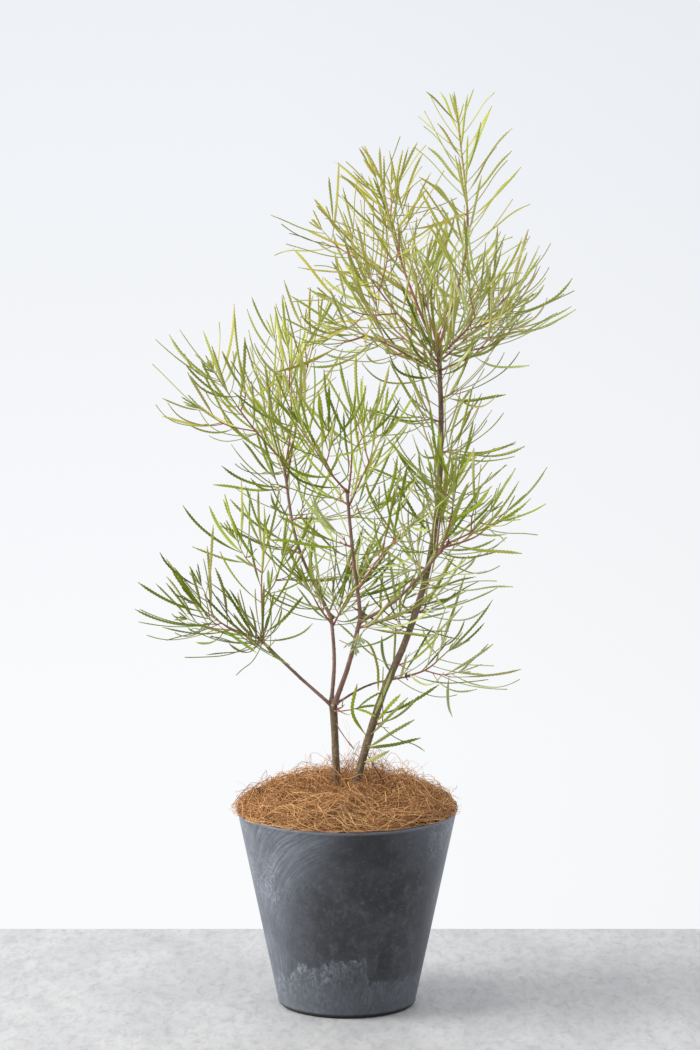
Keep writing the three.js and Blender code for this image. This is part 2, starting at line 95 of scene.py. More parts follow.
def curveThrough(points):
    points = np.array(points, float)
    ends = np.vstack([2 * points[0] - points[1], points, 2 * points[-1] - points[-2]])
    share = np.linspace(0, 1, curveSamples + 1)[1:, None]
    line = [points[:1]]
    for a, b, c, d in zip(ends, ends[1:], ends[2:], ends[3:]):
        before, within, after = (math.sqrt(np.linalg.norm(q - p)) for p, q in ((a, b), (b, c), (c, d)))
        leave = ((b - a) / before - (c - a) / (before + within) + (c - b) / within) * within
        arrive = ((c - b) / within - (d - b) / (within + after) + (d - c) / after) * within
        bend = (3 * (c - b) - 2 * leave - arrive) * share ** 2
        line.append(b + leave * share + bend + (2 * (b - c) + leave + arrive) * share ** 3)
    return trackOf(np.vstack(line))


def trackOf(line):
    run = np.concatenate([[0], np.cumsum(np.linalg.norm(np.diff(line, axis=0), axis=1))])
    return {"line": line, "run": run, "length": run[-1]}


def pointAt(curve, share):
    place = np.atleast_1d(share) * curve["length"]
    found = np.stack([np.interp(place, curve["run"], curve["line"][:, k]) for k in range(3)], axis=-1)
    return found[0] if np.ndim(share) == 0 else found


def headingAt(curve, share):
    low, high = max(share - 0.004, 0), min(share + 0.004, 1)
    return unit(pointAt(curve, high) - pointAt(curve, low))


# A heap gathers many small shapes that end as one joined mesh
def newHeap():
    return {"points": [], "fours": [], "threes": [], "fourSkins": [], "threeSkins": [], "count": 0}


def addTo(heap, points, fours=None, threes=None, skin=0, endSkin=None):
    for key, faces, value in (("four", fours, skin), ("three", threes, skin if endSkin is None else endSkin)):
        if faces is not None and len(faces):
            faces = np.asarray(faces)
            heap[key + "s"].append(faces + heap["count"])
            heap[key + "Skins"].append(np.broadcast_to(np.asarray(value), len(faces)))
    heap["points"].append(np.asarray(points, float))
    heap["count"] += len(points)


def trianglesIn(heap):
    return 2 * sum(len(f) for f in heap["fours"]) + sum(len(f) for f in heap["threes"])


# One joined mesh out of a heap: its skins, and the nodes that it stands for
def makePiece(name, heap, skins, nodes=(), crease=None):
    fours = np.concatenate(heap["fours"]) if heap["fours"] else np.zeros((0, 4), int)
    threes = np.concatenate(heap["threes"]) if heap["threes"] else np.zeros((0, 3), int)
    points = np.concatenate(heap["points"]) * mm
    mesh = bpy.data.meshes.new(name)
    mesh.vertices.add(len(points))
    mesh.vertices.foreach_set("co", points.ravel())
    mesh.loops.add(fours.size + threes.size)
    mesh.loops.foreach_set("vertex_index", np.concatenate([fours.ravel(), threes.ravel()]))
    mesh.polygons.add(len(fours) + len(threes))
    starts = np.concatenate([np.arange(len(fours)) * 4, fours.size + np.arange(len(threes)) * 3])
    mesh.polygons.foreach_set("loop_start", starts)
    mesh.polygons.foreach_set("material_index", np.concatenate(heap["fourSkins"] + heap["threeSkins"]))
    mesh.update(calc_edges=True)
    mesh.validate()
    if crease is None:
        mesh.shade_flat()
    else:
        mesh.shade_smooth()
        mesh.set_sharp_from_angle(angle=math.radians(crease))
    for skin in skins:
        mesh.materials.append(skin)
    piece = bpy.data.objects.new(name, mesh)
    bpy.context.scene.collection.objects.link(piece)
    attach(piece, "root")
    if nodes:
        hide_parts(*nodes)
    print(f"{name}: {trianglesIn(heap)} triangles")


# A round or angular tube along a line, with a radius for each row or for each point of each row
def tubeAlong(line, radii, sides):
    rows = len(line)
    along = unitRows(np.gradient(line, axis=0))
    side = unit(np.cross(along[0], upward if abs(along[0][2]) < 0.9 else np.array([1.0, 0, 0])))
    across = []
    for heading in along:
        side = unit(side - heading * np.dot(side, heading))
        across.append(side)
    across = np.array(across)
    third = np.cross(along, across)
    turn = turnsOf(sides)
    radii = np.asarray(radii, float)
    radii = radii if radii.ndim == 2 else np.repeat(radii[:, None], sides, axis=1)
    ring = np.cos(turn)[None, :, None] * across[:, None, :] + np.sin(turn)[None, :, None] * third[:, None, :]
    points = (line[:, None, :] + ring * radii[:, :, None]).reshape(-1, 3)
    return np.vstack([points, line[:1], line[-1:]]), ringFaces(rows, sides), endFans(rows, sides)


def turnsOf(sides):
    return np.arange(sides) * 2 * math.pi / sides


def ringFaces(rows, sides):
    k = np.arange(sides)
    after = (k + 1) % sides
    low = (np.arange(rows - 1) * sides)[:, None]
    return np.stack([low + k, low + after, low + sides + after, low + sides + k], axis=-1).reshape(-1, 4)


# The two ends close on two points that follow the last ring
def endFans(rows, sides):
    k = np.arange(sides)
    after, first, top = (k + 1) % sides, rows * sides, (rows - 1) * sides
    return np.vstack([np.stack([np.full(sides, first), after, k], 1),
                      np.stack([np.full(sides, first + 1), top + k, top + after], 1)])


def flatRing(radius, height, turns):
    return np.stack([radius * np.cos(turns), radius * np.sin(turns), np.full(len(turns), height)], 1)


def addRings(heap, rings, lowest, highest, skin=0):
    sides = len(rings[0])
    points = np.vstack(rings + [[[0, 0, lowest]], [[0, 0, highest]]])
    addTo(heap, points, ringFaces(len(rings), sides), endFans(len(rings), sides), skin)


# Finishes are built from nodes. newSkin sets what is the same all over the surface
def newSkin(name, colour, roughness, **constants):
    skin = bpy.data.materials.new(name)
    skin.use_nodes = True
    shader = skin.node_tree.nodes["Principled BSDF"]
    shader.inputs["Base Color"].default_value = (*linear(colour), 1)
    shader.inputs["Roughness"].default_value = roughness
    for socket, value in constants.items():
        shader.inputs[socket.replace("_", " ")].default_value = value
    return skin, skin.node_tree


def linear(colour):
    return [c / 12.92 if c <= 0.04045 else ((c + 0.055) / 1.055) ** 2.4 for c in (v / 255 for v in colour)]


def addNode(tree, kind, settings=None, **inputs):
    node = tree.nodes.new(kind)
    for key, value in (settings or {}).items():
        setattr(node, key, value)
    for key, value in inputs.items():
        setInput(tree, node.inputs[key], value)
    return node


def setInput(tree, socket, value):
    if isinstance(value, bpy.types.NodeSocket):
        tree.links.new(value, socket)
    else:
        socket.default_value = value


def blendColours(tree, share, first, second):
    node = addNode(tree, "ShaderNodeMix", {"data_type": "RGBA"})
    setInput(tree, node.inputs[0], share)
    for value, index in ((first, 6), (second, 7)):
        plain = not isinstance(value, bpy.types.NodeSocket)
        setInput(tree, node.inputs[index], (*linear(value), 1) if plain else value)
    return node.outputs[2]


def stretchTo(tree, value, low, high, newLow=0.0, newHigh=1.0):
    node = addNode(tree, "ShaderNodeMapRange", None, Value=value)
    for key, number in (("From Min", low), ("From Max", high), ("To Min", newLow), ("To Max", newHigh)):
        node.inputs[key].default_value = number
    return node.outputs["Result"]


def placeOnPiece(tree, scale=(1, 1, 1)):
    where = addNode(tree, "ShaderNodeTexCoord").outputs["Object"]
    return addNode(tree, "ShaderNodeMapping", None, Vector=where, Scale=scale).outputs["Vector"]


def noiseOn(tree, where, scale, detail=4, roughness=0.55, distortion=0.0):
    node = addNode(tree, "ShaderNodeTexNoise", None, Vector=where, Scale=scale, Detail=detail,
                   Roughness=roughness, Distortion=distortion)
    return node.outputs["Fac"]


# The last step of every finish: its colour, and the fine relief that goes with it
def finishSkin(skin, colour, height=None, strength=0.0, distance=0.0, roughness=None):
    tree = skin.node_tree
    shader = tree.nodes["Principled BSDF"]
    tree.links.new(colour, shader.inputs["Base Color"])
    if roughness is not None:
        tree.links.new(roughness, shader.inputs["Roughness"])
    if height is not None:
        bump = addNode(tree, "ShaderNodeBump", None, Strength=strength, Distance=distance, Height=height)
        tree.links.new(bump.outputs["Normal"], shader.inputs["Normal"])
    return skin


# Limbs: a stem stands in the soil, and a bough starts on another limb, back from that limb's tip
limbs = {
    "stem_left": dict(path=[[-10, 8, 190], [-12, 8, 265], [-15, 12, 333]],
                      radius=[4.2, 3.8], flare=2.8, knot=1.2),
    "stem_right": dict(path=[[-3, -13, 190], [12, -12, 256], [37, -6, 340], [67, 6, 411], [87, 14, 477],
                             [98, 17, 546], [102, 13, 630], [99, 5, 722]],
                       radius=[4.6, 2.4], flare=3.2, knot=1.0),
    "bough_far_left": dict(on="stem_left", back=4, shift=[-1, -1, 0],
                           path=[[-56, 3, 367], [-95, -10, 408]], radius=[1.9, 1.5]),
    "bough_centre_left": dict(on="stem_left", back=0, shift=[-2, 2, 0],
                              path=[[-14, 26, 377], [-17, 40, 421]], radius=[2.1, 1.9]),
    "bough_centre": dict(on="stem_left", back=0, shift=[2, -2, 0],
                         path=[[2, 0, 378], [15, -10, 432]], radius=[2.7, 2.3]),
    "bough_low_right": dict(on="stem_left", back=3, path=[[24, 24, 350], [65, 36, 357]], radius=[1.3, 0.9]),
    "bough_left_upper": dict(on="bough_centre_left", back=0, path=[[-54, 64, 499], [-70, 85, 588]],
                             radius=[1.8, 1.4]),
    "bough_centre_upper": dict(on="bough_centre", back=0, path=[[6, -30, 510], [0, -46, 574]],
                               radius=[2.0, 1.6]),
    "bough_crossing": dict(on="bough_centre", back=7, path=[[53, -20, 452], [109, -42, 518]],
                           radius=[1.7, 1.4]),
}

# Bark: how the limbs swell, and the relief that time has left on them
bark = {
    "flareReach": 14,
    "knotReach": 9,
    "collar": 0.75,  # share of its radius that a bough gains where it leaves its parent
    "collarReach": 4.5,
    "groundHeight": 200.3,
    "stemSides": 30,
    "boughSides": 18,
    "rowLength": 1.1,
    "domeRows": 5,
    "ridge": 0.15,  # depth of the long ridges, as a share of the radius
    "ridgeGrain": [2.6, 0.06],  # how finely they are set, round the limb and along it
    "ripple": 0.05,
    "rippleGrain": [1.2, 0.42],
    "scarSpacing": 7.5,  # along the limb, from one leaf scar to the next
    "scarHeight": 0.55,
    "scarReach": 1.3,
}


def limbRadius(limb, length, share):
    taper = lerp(limb["radius"], share)
    flare = limb.get("flare", 0) * np.exp(-share * length / bark["flareReach"])
    return taper + flare + limb.get("knot", 0) * np.exp(-(1 - share) * length / bark["knotReach"])


def curveOf(part, curves):
    points = [np.array(p, float) for p in part["path"]]
    if "on" in part:
        parent = curves[part["on"]]
        start = pointAt(parent, 1 - part["back"] / parent["length"])
        points.insert(0, start + np.array(part.get("shift", [0, 0, 0]), float))
    return curveThrough(points)


curves = {}
for limbName, limb in limbs.items():
    curves[limbName] = curveOf(limb, curves)


# The limb's own surface: ridges that run along it, ripples, and scars that wind round it
def barkRadii(limb, shares, length, sides, seed):
    radii = np.repeat(limbRadius(limb, length, shares)[:, None], sides, axis=1)
    if "on" in limb:
        collar = bark["collar"] * np.exp(-shares * length / bark["collarReach"])
        radii = radii * (1 + collar[:, None])
    turns, run = turnsOf(sides), shares * length
    (ridgeRound, ridgeAlong), (rippleRound, rippleAlong) = bark["ridgeGrain"], bark["rippleGrain"]
    relief = np.zeros_like(radii)
    for i, s in enumerate(run):
        for j, t in enumerate(turns):
            x, y = math.cos(t), math.sin(t)
            ridge = noise.noise(Vector((x * ridgeRound, y * ridgeRound, s * ridgeAlong + seed * 9.1)))
            ripple = noise.noise(Vector((x * rippleRound + 5, y * rippleRound, s * rippleAlong + seed * 3.7)))
            relief[i, j] = bark["ridge"] * ridge + bark["ripple"] * ripple
    radii = radii * (1 + relief)
    draw = np.random.default_rng(seed)
    for k in range(int(length / bark["scarSpacing"])):
        place = (k + draw.uniform(0.2, 0.8)) * bark["scarSpacing"]
        size = draw.uniform(0.5, 1.0)
        apart = np.angle(np.exp(1j * (turns - k * goldenAngle)))[None, :] * radii
        away = (apart / bark["scarReach"]) ** 2 + ((run - place) / (0.7 * bark["scarReach"]))[:, None] ** 2
        radii = radii + bark["scarHeight"] * size * np.exp(-away)
    return radii


def growLimb(heap, name, seed):
    limb, curve = limbs[name], curves[name]
    length, first = curve["length"], 0.0
    if "on" not in limb:  # a stem starts at the soil
        scale = np.linspace(0, 1, 400)
        first = float(np.interp(bark["groundHeight"], pointAt(curve, scale)[:, 2], scale))
    shares = np.linspace(first, 1, int((1 - first) * length / bark["rowLength"]))
    sides = bark["boughSides"] if "on" in limb else bark["stemSides"]
    radii = barkRadii(limb, shares, length, sides, seed)
    line = pointAt(curve, shares)
    turn = np.linspace(0, 1, bark["domeRows"] + 1)[1:] * math.pi / 2.06
    line = np.vstack([line, line[-1] + np.sin(turn)[:, None] * headingAt(curve, 1.0) * radii[-1].mean()])
    radii = np.vstack([radii, radii[-1] * np.cos(turn)[:, None]])
    addTo(heap, *tubeAlong(line, radii, sides))


# Bark tones: a paler and a darker one for each kind, with its cracks
barkTones = {
    "stemLow": [(112, 94, 66), (76, 62, 44)],
    "stemHigh": [(128, 106, 84), (90, 70, 60)],
    "highFrom": [0.36, 0.56],  # metres above the floor, between the low tones and the high ones
    "stemCracks": (54, 42, 30),
    "stemFlecks": (150, 120, 82),
    "bough": [(130, 100, 84), (104, 74, 62)],
    "boughCracks": (70, 48, 40),
}


def stemBark():
    skin, tree = newSkin("stemBark", (96, 78, 56), 0.82)
    fine = noiseOn(tree, placeOnPiece(tree, (260, 260, 45)), 1.0, 6, 0.65)
    broad = stretchTo(tree, noiseOn(tree, placeOnPiece(tree, (60, 60, 22)), 1.0, 3), 0.35, 0.65)
    high = addNode(tree, "ShaderNodeSeparateXYZ", None, Vector=placeOnPiece(tree)).outputs["Z"]
    colour = blendColours(tree, stretchTo(tree, high, *barkTones["highFrom"]),
                          blendColours(tree, broad, *barkTones["stemLow"]),
                          blendColours(tree, broad, *barkTones["stemHigh"]))
    colour = blendColours(tree, stretchTo(tree, fine, 0.52, 0.72, 0, 0.75), colour, barkTones["stemCracks"])
    flecks = addNode(tree, "ShaderNodeTexVoronoi", None, Vector=placeOnPiece(tree, (300, 300, 150)), Scale=1.0)
    fleck = stretchTo(tree, flecks.outputs["Distance"], 0.3, 0.16, 0, 0.55)
    colour = blendColours(tree, fleck, colour, barkTones["stemFlecks"])
    return finishSkin(skin, colour, fine, 0.6, 0.0006)


def boughBark():
    skin, tree = newSkin("boughBark", (92, 66, 56), 0.7)
    fine = noiseOn(tree, placeOnPiece(tree, (420, 420, 120)), 1.0, 5, 0.6)
    broad = noiseOn(tree, placeOnPiece(tree, (70, 70, 40)), 1.0, 3)
    colour = blendColours(tree, stretchTo(tree, broad, 0.38, 0.62), *barkTones["bough"])
    colour = blendColours(tree, stretchTo(tree, fine, 0.55, 0.75, 0, 0.5), colour, barkTones["boughCracks"])
    return finishSkin(skin, colour, fine, 0.5, 0.0004)


stemHeap, boughHeap = newHeap(), newHeap()
stems = [name for name in limbs if name.startswith("stem")]
boughs = [name for name in limbs if name.startswith("bough")]
for seed, limbName in enumerate(limbs):
    growLimb(stemHeap if limbName in stems else boughHeap, limbName, seed + 1)
makePiece("barkOfStems", stemHeap, [stemBark()], stems, crease=60)
makePiece("barkOfBoughs", boughHeap, [boughBark()], boughs, crease=60)

# Sprays: on which limb, how far back from its tip, the stem's middle and tip, twigs, leaves in the
# solid, the leaf colours that are dealt out to it, and its fullness, against its solid
sprays = {
    "spray_left_low": ("bough_far_left", 0, [[-128, -30, 424], [-164, -55, 455]], 3, 20, "deep moss", 1.3),
    "spray_left_rising": ("bough_far_left", 7, [[-93, 10, 457], [-91, 35, 520]], 2, 20, "moss fresh", 1.4),
    "spray_upper_left": ("bough_left_upper", 0, [[-106, 70, 632], [-145, 45, 693]], 3, 26, "olive gold", 1.15),
    "spray_upper_back": ("bough_left_upper", 6, [[-80, 112, 625], [-86, 135, 665]], 1, 14, "olive fresh", 2.0),
    "spray_upper_top": ("bough_left_upper", 12, [[-61, 92, 650], [-80, 108, 724]], 2, 22, "lime gold", 0.98),
    "spray_upper_gold": ("bough_left_upper", 24, [[-48, 118, 670], [-30, 150, 738]], 2, 22, "gold lime", 0.55),
    "spray_inner_left": ("bough_centre_left", 6, [[-30, 24, 436], [-44, 14, 466]], 0, 9, "moss silver", 1.5),
    "spray_inner_back": ("bough_centre_left", 10, [[-4, 60, 432], [9, 72, 455]], 0, 9, "moss silver", 4.0),
    "spray_centre_left": ("bough_centre_upper", 0, [[-21, -72, 603], [-50, -105, 656]], 2, 19,
                          "moss fresh", 1.4),
    "spray_centre_top": ("bough_centre_upper", 9, [[5, -62, 610], [4, -84, 655]], 1, 18, "fresh moss", 0.62),
    "spray_centre_right": ("bough_centre_upper", 18, [[20, -44, 598], [39, -34, 636]], 1, 17,
                           "fresh olive", 1.12),
    "spray_centre_side": ("bough_centre_upper", 115, [[38, -50, 507], [69, -95, 547]], 2, 20,
                          "moss silver", 1.05),
    "spray_centre_back": ("bough_centre", 14, [[39, 20, 423], [64, 55, 441]], 0, 10, "moss silver", 1.5),
    "spray_right_front": ("bough_crossing", 0, [[134, -62, 534], [153, -80, 558]], 2, 19, "fresh silver", 0.45),
    "spray_right_back": ("bough_crossing", 7, [[140, -20, 522], [161, 8, 538]], 1, 16, "fresh silver", 0.35),
    "spray_right_rising": ("bough_crossing", 13, [[112, -72, 555], [113, -95, 600]], 1, 18, "fresh moss", 0.95),
    "spray_right_inner": ("bough_crossing", 22, [[100, -38, 540], [108, -24, 578]], 0, 12, "fresh moss", 1.7),
    "spray_low_right": ("bough_low_right", 0, [[88, 45, 364], [113, 60, 383]], 2, 18, "silver deep", 0.85),
    "spray_leader": ("stem_right", 0, [[129, 16, 835], [119, 15, 970]], 0, 42, "lime gold", 1.2),
    "spray_top_main": ("stem_right", 10, [[63, 20, 802], [30, 35, 908]], 3, 38, "gold olive", 1.6),
    "spray_top_far_left": ("stem_right", 17, [[33, -18, 790], [-18, -40, 867]], 3, 28, "gold olive", 1.15),
    "spray_top_mid_left": ("stem_right", 21, [[52, 40, 739], [11, 75, 777]], 2, 22, "olive silver", 1.4),
    "spray_top_low_left": ("stem_right", 26, [[42, -40, 733], [-11, -75, 759]], 3, 26, "olive gold", 0.4),
    "spray_top_right_front": ("stem_right", 9, [[132, -36, 754], [149, -75, 798]], 2, 20, "olive silver", 1.9),
    "spray_top_right_back": ("stem_right", 14, [[141, 48, 740], [174, 95, 775]], 2, 22, "silver tan", 0.8),
    "spray_top_right": ("stem_right", 24, [[145, -10, 722], [180, -20, 748]], 2, 20, "silver tan", 0.8),
    "spray_top_back": ("stem_right", 6, [[88, 52, 760], [75, 105, 806]], 2, 20, "olive silver", 1.62),
}

stoutStems = {"spray_leader": 1.5, "spray_top_main": 1.4}

# Spurs: short sprays straight off a limb, each at a height and a compass heading, 0 to the right, with
# its leaves, colours and fullness
spur = {"reach": 22, "rise": 16, "shown": 0.6}  # the leaves hide the rest of its twig
spurPlaces = [
    ("stem_right", 692, 260, 9, "olive moss", 1),
    ("stem_right", 668, 10, 9, "olive moss", 0.75),
    ("stem_right", 642, 215, 9, "fresh olive", 1),
    ("stem_right", 608, 330, 9, "fresh olive", 1.5),
    ("stem_right", 572, 120, 9, "moss silver", 0.9),
    ("stem_right", 536, 60, 9, "fresh silver", 0.4),
    ("stem_right", 500, 350, 9, "silver fresh", 0.8),
    ("stem_right", 464, 300, 9, "silver fresh", 0.6),
    ("stem_right", 432, 30, 8, "silver moss", 1.1),
    ("stem_right", 312, 340, 6, "deep silver", 0.3),
    ("stem_left", 325, 325, 3, "moss silver", 0.35),
    ("bough_left_upper", 560, 215, 9, "moss fresh", 0.7),
    ("bough_left_upper", 526, 340, 9, "moss fresh", 1),
    ("bough_left_upper", 490, 170, 9, "deep moss", 0.5),
    ("bough_left_upper", 456, 60, 8, "silver moss", 0.4),
    ("bough_centre_upper", 546, 20, 9, "fresh moss", 0.65),
    ("bough_centre_upper", 512, 200, 9, "moss silver", 0.55),
    ("bough_centre_upper", 484, 120, 8, "silver moss", 0.6),
    ("bough_crossing", 466, 70, 8, "silver moss", 1),
]

# How twigs leave a spray's stem, and the finer twigs that leave them in turn
twig = {
    "radius": [1.25, 0.6],
    "sideRadius": [0.85, 0.5],
    "fineRadius": [0.6, 0.4],
    "sides": 7,
    "rowLength": 4,
    "angle": [36, 50],
    "first": 0.3,
    "last": 0.8,
    "jitter": [0.2, 0.8],
    "lengthShare": 0.55,
    "shortest": 20,
    "sweep": 0.5,
    "lift": 0.25,
    "finePlaces": [0.5],
    "fineShare": 0.5,
    "fineShortest": 12,
    "fineFrom": 40,  # only a side twig at least this long bears finer ones
    "fineSeed": 900,
    "ownPlaces": [0.35, 0.7],  # where they stand on a spray that has no side twigs
    "ownLongest": 150,  # but a longer one bears leaves alone
    "greenFrom": 0.6,  # beyond this share of the way a twig is young and green
    "swollenFoot": 1.25,
    "bluntTip": 0.6,
}

# How leaves stand on a twig and what they look like
leaf = {
    "density": 1.2,  # leaves for each one in the solid
    "length": 82,
    "lengths": [0.78, 1.14],
    "width": [2.3, 3.4],
    "turnSpread": 0.7,
    "roll": 38,
    "twist": 50,
    "bend": [0.42, 0.58],  # shares of the length before the bend and after it
    "curlPull": 1.6,
    "lightFrom": [-0.35, -0.75, 0.55],
    "facing": [0.9, 0.1],  # how far blades turn their faces to the light, the least rolled and the most
    "youngFrom": 0.75,
    "youngest": 0.64,
    "youngWidth": 0.72,
    "firstColour": 0.68,  # share of a spray's leaves that take the first of its two colours
    "foot": 0.05,  # bare share of a stem, a twig and a spur's twig
    "twigFoot": 0.14,
    "spurFoot": 0.15,
    "spurLift": 0.4,  # more lift for the leaves of short shoots
    "crowding": 0.95,
    "interlace": 60,
    "limbRoom": 2.2,
    "proud": 6,  # how far a leaf may pass the reach of the solids
    "sizesTried": [1, 0.84, 0.7],  # until one keeps to its own space
    "toothPitch": 3.8,
    "toothDepth": 0.84,
    "toothLean": 0.5,
    "toothedFrom": 0.28,
    "toothedTo": 0.96,
    "toothedWidth": 3.6,  # a narrower blade has smaller teeth
    "footRows": [0.0, 0.04, 0.1, 0.17, 0.23],
    "tipRows": [0.985, 1.0],
    "footWidth": 0.26,  # as a share of the blade's width
    "fullFrom": 0.36,
    "tipFrom": 0.82,
    "tipWidth": 0.34,
    "rise": 0.38,  # of the midline above the edges
    "keel": 0.68,  # and of the rib below them
    "warmTip": 0.95,
    "brownTip": 0.991,
    "footEnd": 0.07,
}

# A few tiny upright leaves close each shoot that is long enough
tuft = {"from": 26, "leaves": 4, "length": [10, 32], "width": 1.7, "angle": [12, 34], "sweep": 0.7, "lift": 0.2,
        "curl": 0.3}

# The highest sprays' leaves stand close and flare, the next rise in arcs, and the lower ones spread
# and arch; a spray takes the first habit whose height its tip is above, and leaves that stand
# straight on the bark have one of their own
leafHabits = {
    "opening": {"from": 830, "baseAngle": 66, "tipAngle": 40, "sweep": [0.1, 0.65], "lift": [0.15, 0.7],
                "curl": [0.0, 0.9], "spread": 15, "slim": 0.9},
    "rising": {"from": 600, "baseAngle": 64, "tipAngle": 32, "sweep": [0.4, 1.4], "lift": [0.5, 1.4],
               "curl": [-0.4, 0.3], "spread": 20, "slim": 0.96},
    "arching": {"from": 0, "baseAngle": 61, "tipAngle": 32, "sweep": [0.25, 1.1], "lift": [0.15, 0.85],
                "curl": [-0.4, 0.5], "spread": 24, "slim": 1.0},
}
barkHabit = {"baseAngle": 62, "tipAngle": 50, "sweep": [0.05, 0.5], "lift": [0.05, 0.35], "curl": [-0.7, -0.1],
             "spread": 24, "slim": 0.58}
turnSeed, leafSeed, barkSeed = 500, 31, 700


def leaning(along, angle, turn):
    side = np.cross(along, upward)
    side = unit(side) if side @ side > 1e-4 else np.array([1.0, 0, 0])
    side = side * math.cos(turn) + np.cross(along, side) * math.sin(turn)
    return along * math.cos(angle) + side * math.sin(angle)


def swept(direction, along, sweep, lift):
    return unit(direction + along * sweep + upward * lift)


def segmentsOf(curve, count):
    points = pointAt(curve, np.linspace(0, 1, count + 1))
    return points[:-1], points[1:]


def nearest(point, starts, ends):
    span = ends - starts
    share = np.clip(((point - starts) * span).sum(1) / np.maximum((span * span).sum(1), 1e-9), 0, 1)
    return np.linalg.norm(starts + span * share[:, None] - point, axis=1)


# Short shoots too small for a solid of their own, placed as the spurs are
shootPlaces = [
    ("bough_far_left", 402, 250, 9, "deep moss", 2.5),
    ("bough_centre", 420, 330, 9, "silver moss", 0.6),
    ("bough_low_right", 355, 80, 7, "silver deep", 0.9),
    ("stem_right", 376, 330, 8, "moss silver", 0.35),
    ("stem_right", 416, 200, 8, "moss silver", 1),
    ("stem_right", 480, 160, 9, "moss silver", 1.2),
    ("bough_left_upper", 578, 265, 10, "fresh moss", 1.25),
    ("bough_centre_upper", 560, 140, 9, "fresh moss", 0.55),
    ("stem_right", 714, 250, 10, "olive moss", 1.6),
    ("stem_right", 718, 20, 10, "olive silver", 1.5),
]

# Every spray as a dictionary, the spurs and short shoots after the sprays
plant = {}
for sprayName, (on, back, path, twigs, leaves, colours, full) in sprays.items():
    plant[sprayName] = dict(on=on, back=back, path=path, twigs=twigs, leaves=leaves, colours=colours, full=full,
                            thick=stoutStems.get(sprayName, 1), short=False)
for number, (on, height, heading, leaves, colours, full) in enumerate(spurPlaces + shootPlaces):
    curve, scale, turn = curves[on], np.linspace(0, 1, 600), math.radians(heading)
    share = float(np.interp(height, pointAt(curve, scale)[:, 2], scale))
    path = []
    for out in (0.5, 1):
        step, rise = spur["reach"] * out, spur["rise"] * out * out
        path.append(pointAt(curve, share) + [step * math.cos(turn), step * math.sin(turn), rise])
    shootName = f"spur_{number + 1}" if number < len(spurPlaces) else f"shoot_{number + 1}"
    plant[shootName] = dict(on=on, back=curve["length"] * (1 - share), path=path, twigs=0, leaves=leaves,
                            colours=colours, full=full, thick=1, short=True)
for number, spray in enumerate(plant.values()):
    spray["seed"] = number + 1
    spray["turn"] = 2 * math.pi * next(numberSeries(spray["seed"] + turnSeed))
    spray["stem"] = curveOf(spray, curves)
    if spray["short"]:
        spray["stem"] = trackOf(pointAt(spray["stem"], np.linspace(0, spur["shown"], 16)))
    spray["segments"] = segmentsOf(spray["stem"], 8)
    spray["habit"] = next(h for h in leafHabits.values() if spray["path"][-1][2] > h["from"])

limbStarts, limbEnds, limbRooms = [], [], []
for limbName, curve in curves.items():
    starts, ends = segmentsOf(curve, 16)
    limbStarts.append(starts)
    limbEnds.append(ends)
    limbRooms.append(limbRadius(limbs[limbName], curve["length"], np.linspace(0, 1, 17)[:-1]))
limbStarts, limbEnds = np.vstack(limbStarts), np.vstack(limbEnds)
limbRooms = np.concatenate(limbRooms) + leaf["limbRoom"]


def sideTwigs(spray):
    draw = numberSeries(spray["seed"])
    stem, found = spray["stem"], []
    for i in range(spray["twigs"]):
        place = lerp((twig["first"], twig["last"]), (i + lerp(twig["jitter"], next(draw))) / spray["twigs"])
        angle = math.radians(lerp(twig["angle"], next(draw)))
        reach = stem["length"] * (1 - place) * twig["lengthShare"] + twig["shortest"]
        found.append(twigFrom(stem, place, angle, goldenAngle * i + spray["turn"], reach))
    return found


def twigFrom(parent, place, angle, turn, reach):
    along, start = headingAt(parent, place), pointAt(parent, place)
    first = leaning(along, angle, turn)
    second = swept(first, along, twig["sweep"], twig["lift"])
    middle = start + first * reach / 2
    return curveThrough([start, middle, middle + second * reach / 2])


# Finer twigs stand on the side twigs and on a spray's own stem
def fineTwigs(spray, shoots):
    draw, found, places = numberSeries(spray["seed"] + twig["fineSeed"]), [], twig["finePlaces"]
    if not shoots and spray["stem"]["length"] < twig["ownLongest"]:
        shoots, places = [spray["stem"]], twig["ownPlaces"]
    for parent in shoots:
        if parent["length"] < twig["fineFrom"] and not spray["short"]:
            continue
        for k, place in enumerate(places):
            place = place + 0.1 * (next(draw) - 0.5)
            reach = parent["length"] * (1 - place) * twig["fineShare"] * lerp((0.6, 1), next(draw))
            angle = math.radians(lerp(twig["angle"], next(draw)))
            turn = goldenAngle * (k + 2.4) + spray["turn"] + 2 * next(draw)
            found.append(twigFrom(parent, place, angle, turn, reach + twig["fineShortest"]))
    return found


# Twigs of three thicknesses, red-brown with green ends
def addTwig(heap, curve, radius, greenFrom):
    rows = max(int(curve["length"] / twig["rowLength"]), 4)
    shares = np.linspace(0, 1, rows)
    radii = lerp(radius, shares)
    radii[0] *= twig["swollenFoot"]
    radii[-1] *= twig["bluntTip"]
    points, fours, threes = tubeAlong(pointAt(curve, shares), radii, twig["sides"])
    young = (np.arange(rows - 1) / (rows - 1) >= greenFrom).astype(int)
    endSkins = np.repeat([0, int(greenFrom < 1)], twig["sides"])
    addTo(heap, points, fours, threes, np.repeat(young, twig["sides"]), endSkins)


# One leaf: a thin closed blade, narrow at its foot, toothed above, with the rib below
def bladeShares(length):
    toothed = (leaf["toothedTo"] - leaf["toothedFrom"]) * length
    teeth = max(int(round(toothed / leaf["toothPitch"])) * 2, 4)
    middle = np.linspace(leaf["toothedFrom"], leaf["toothedTo"], teeth)
    return np.concatenate([leaf["footRows"], middle, leaf["tipRows"]])


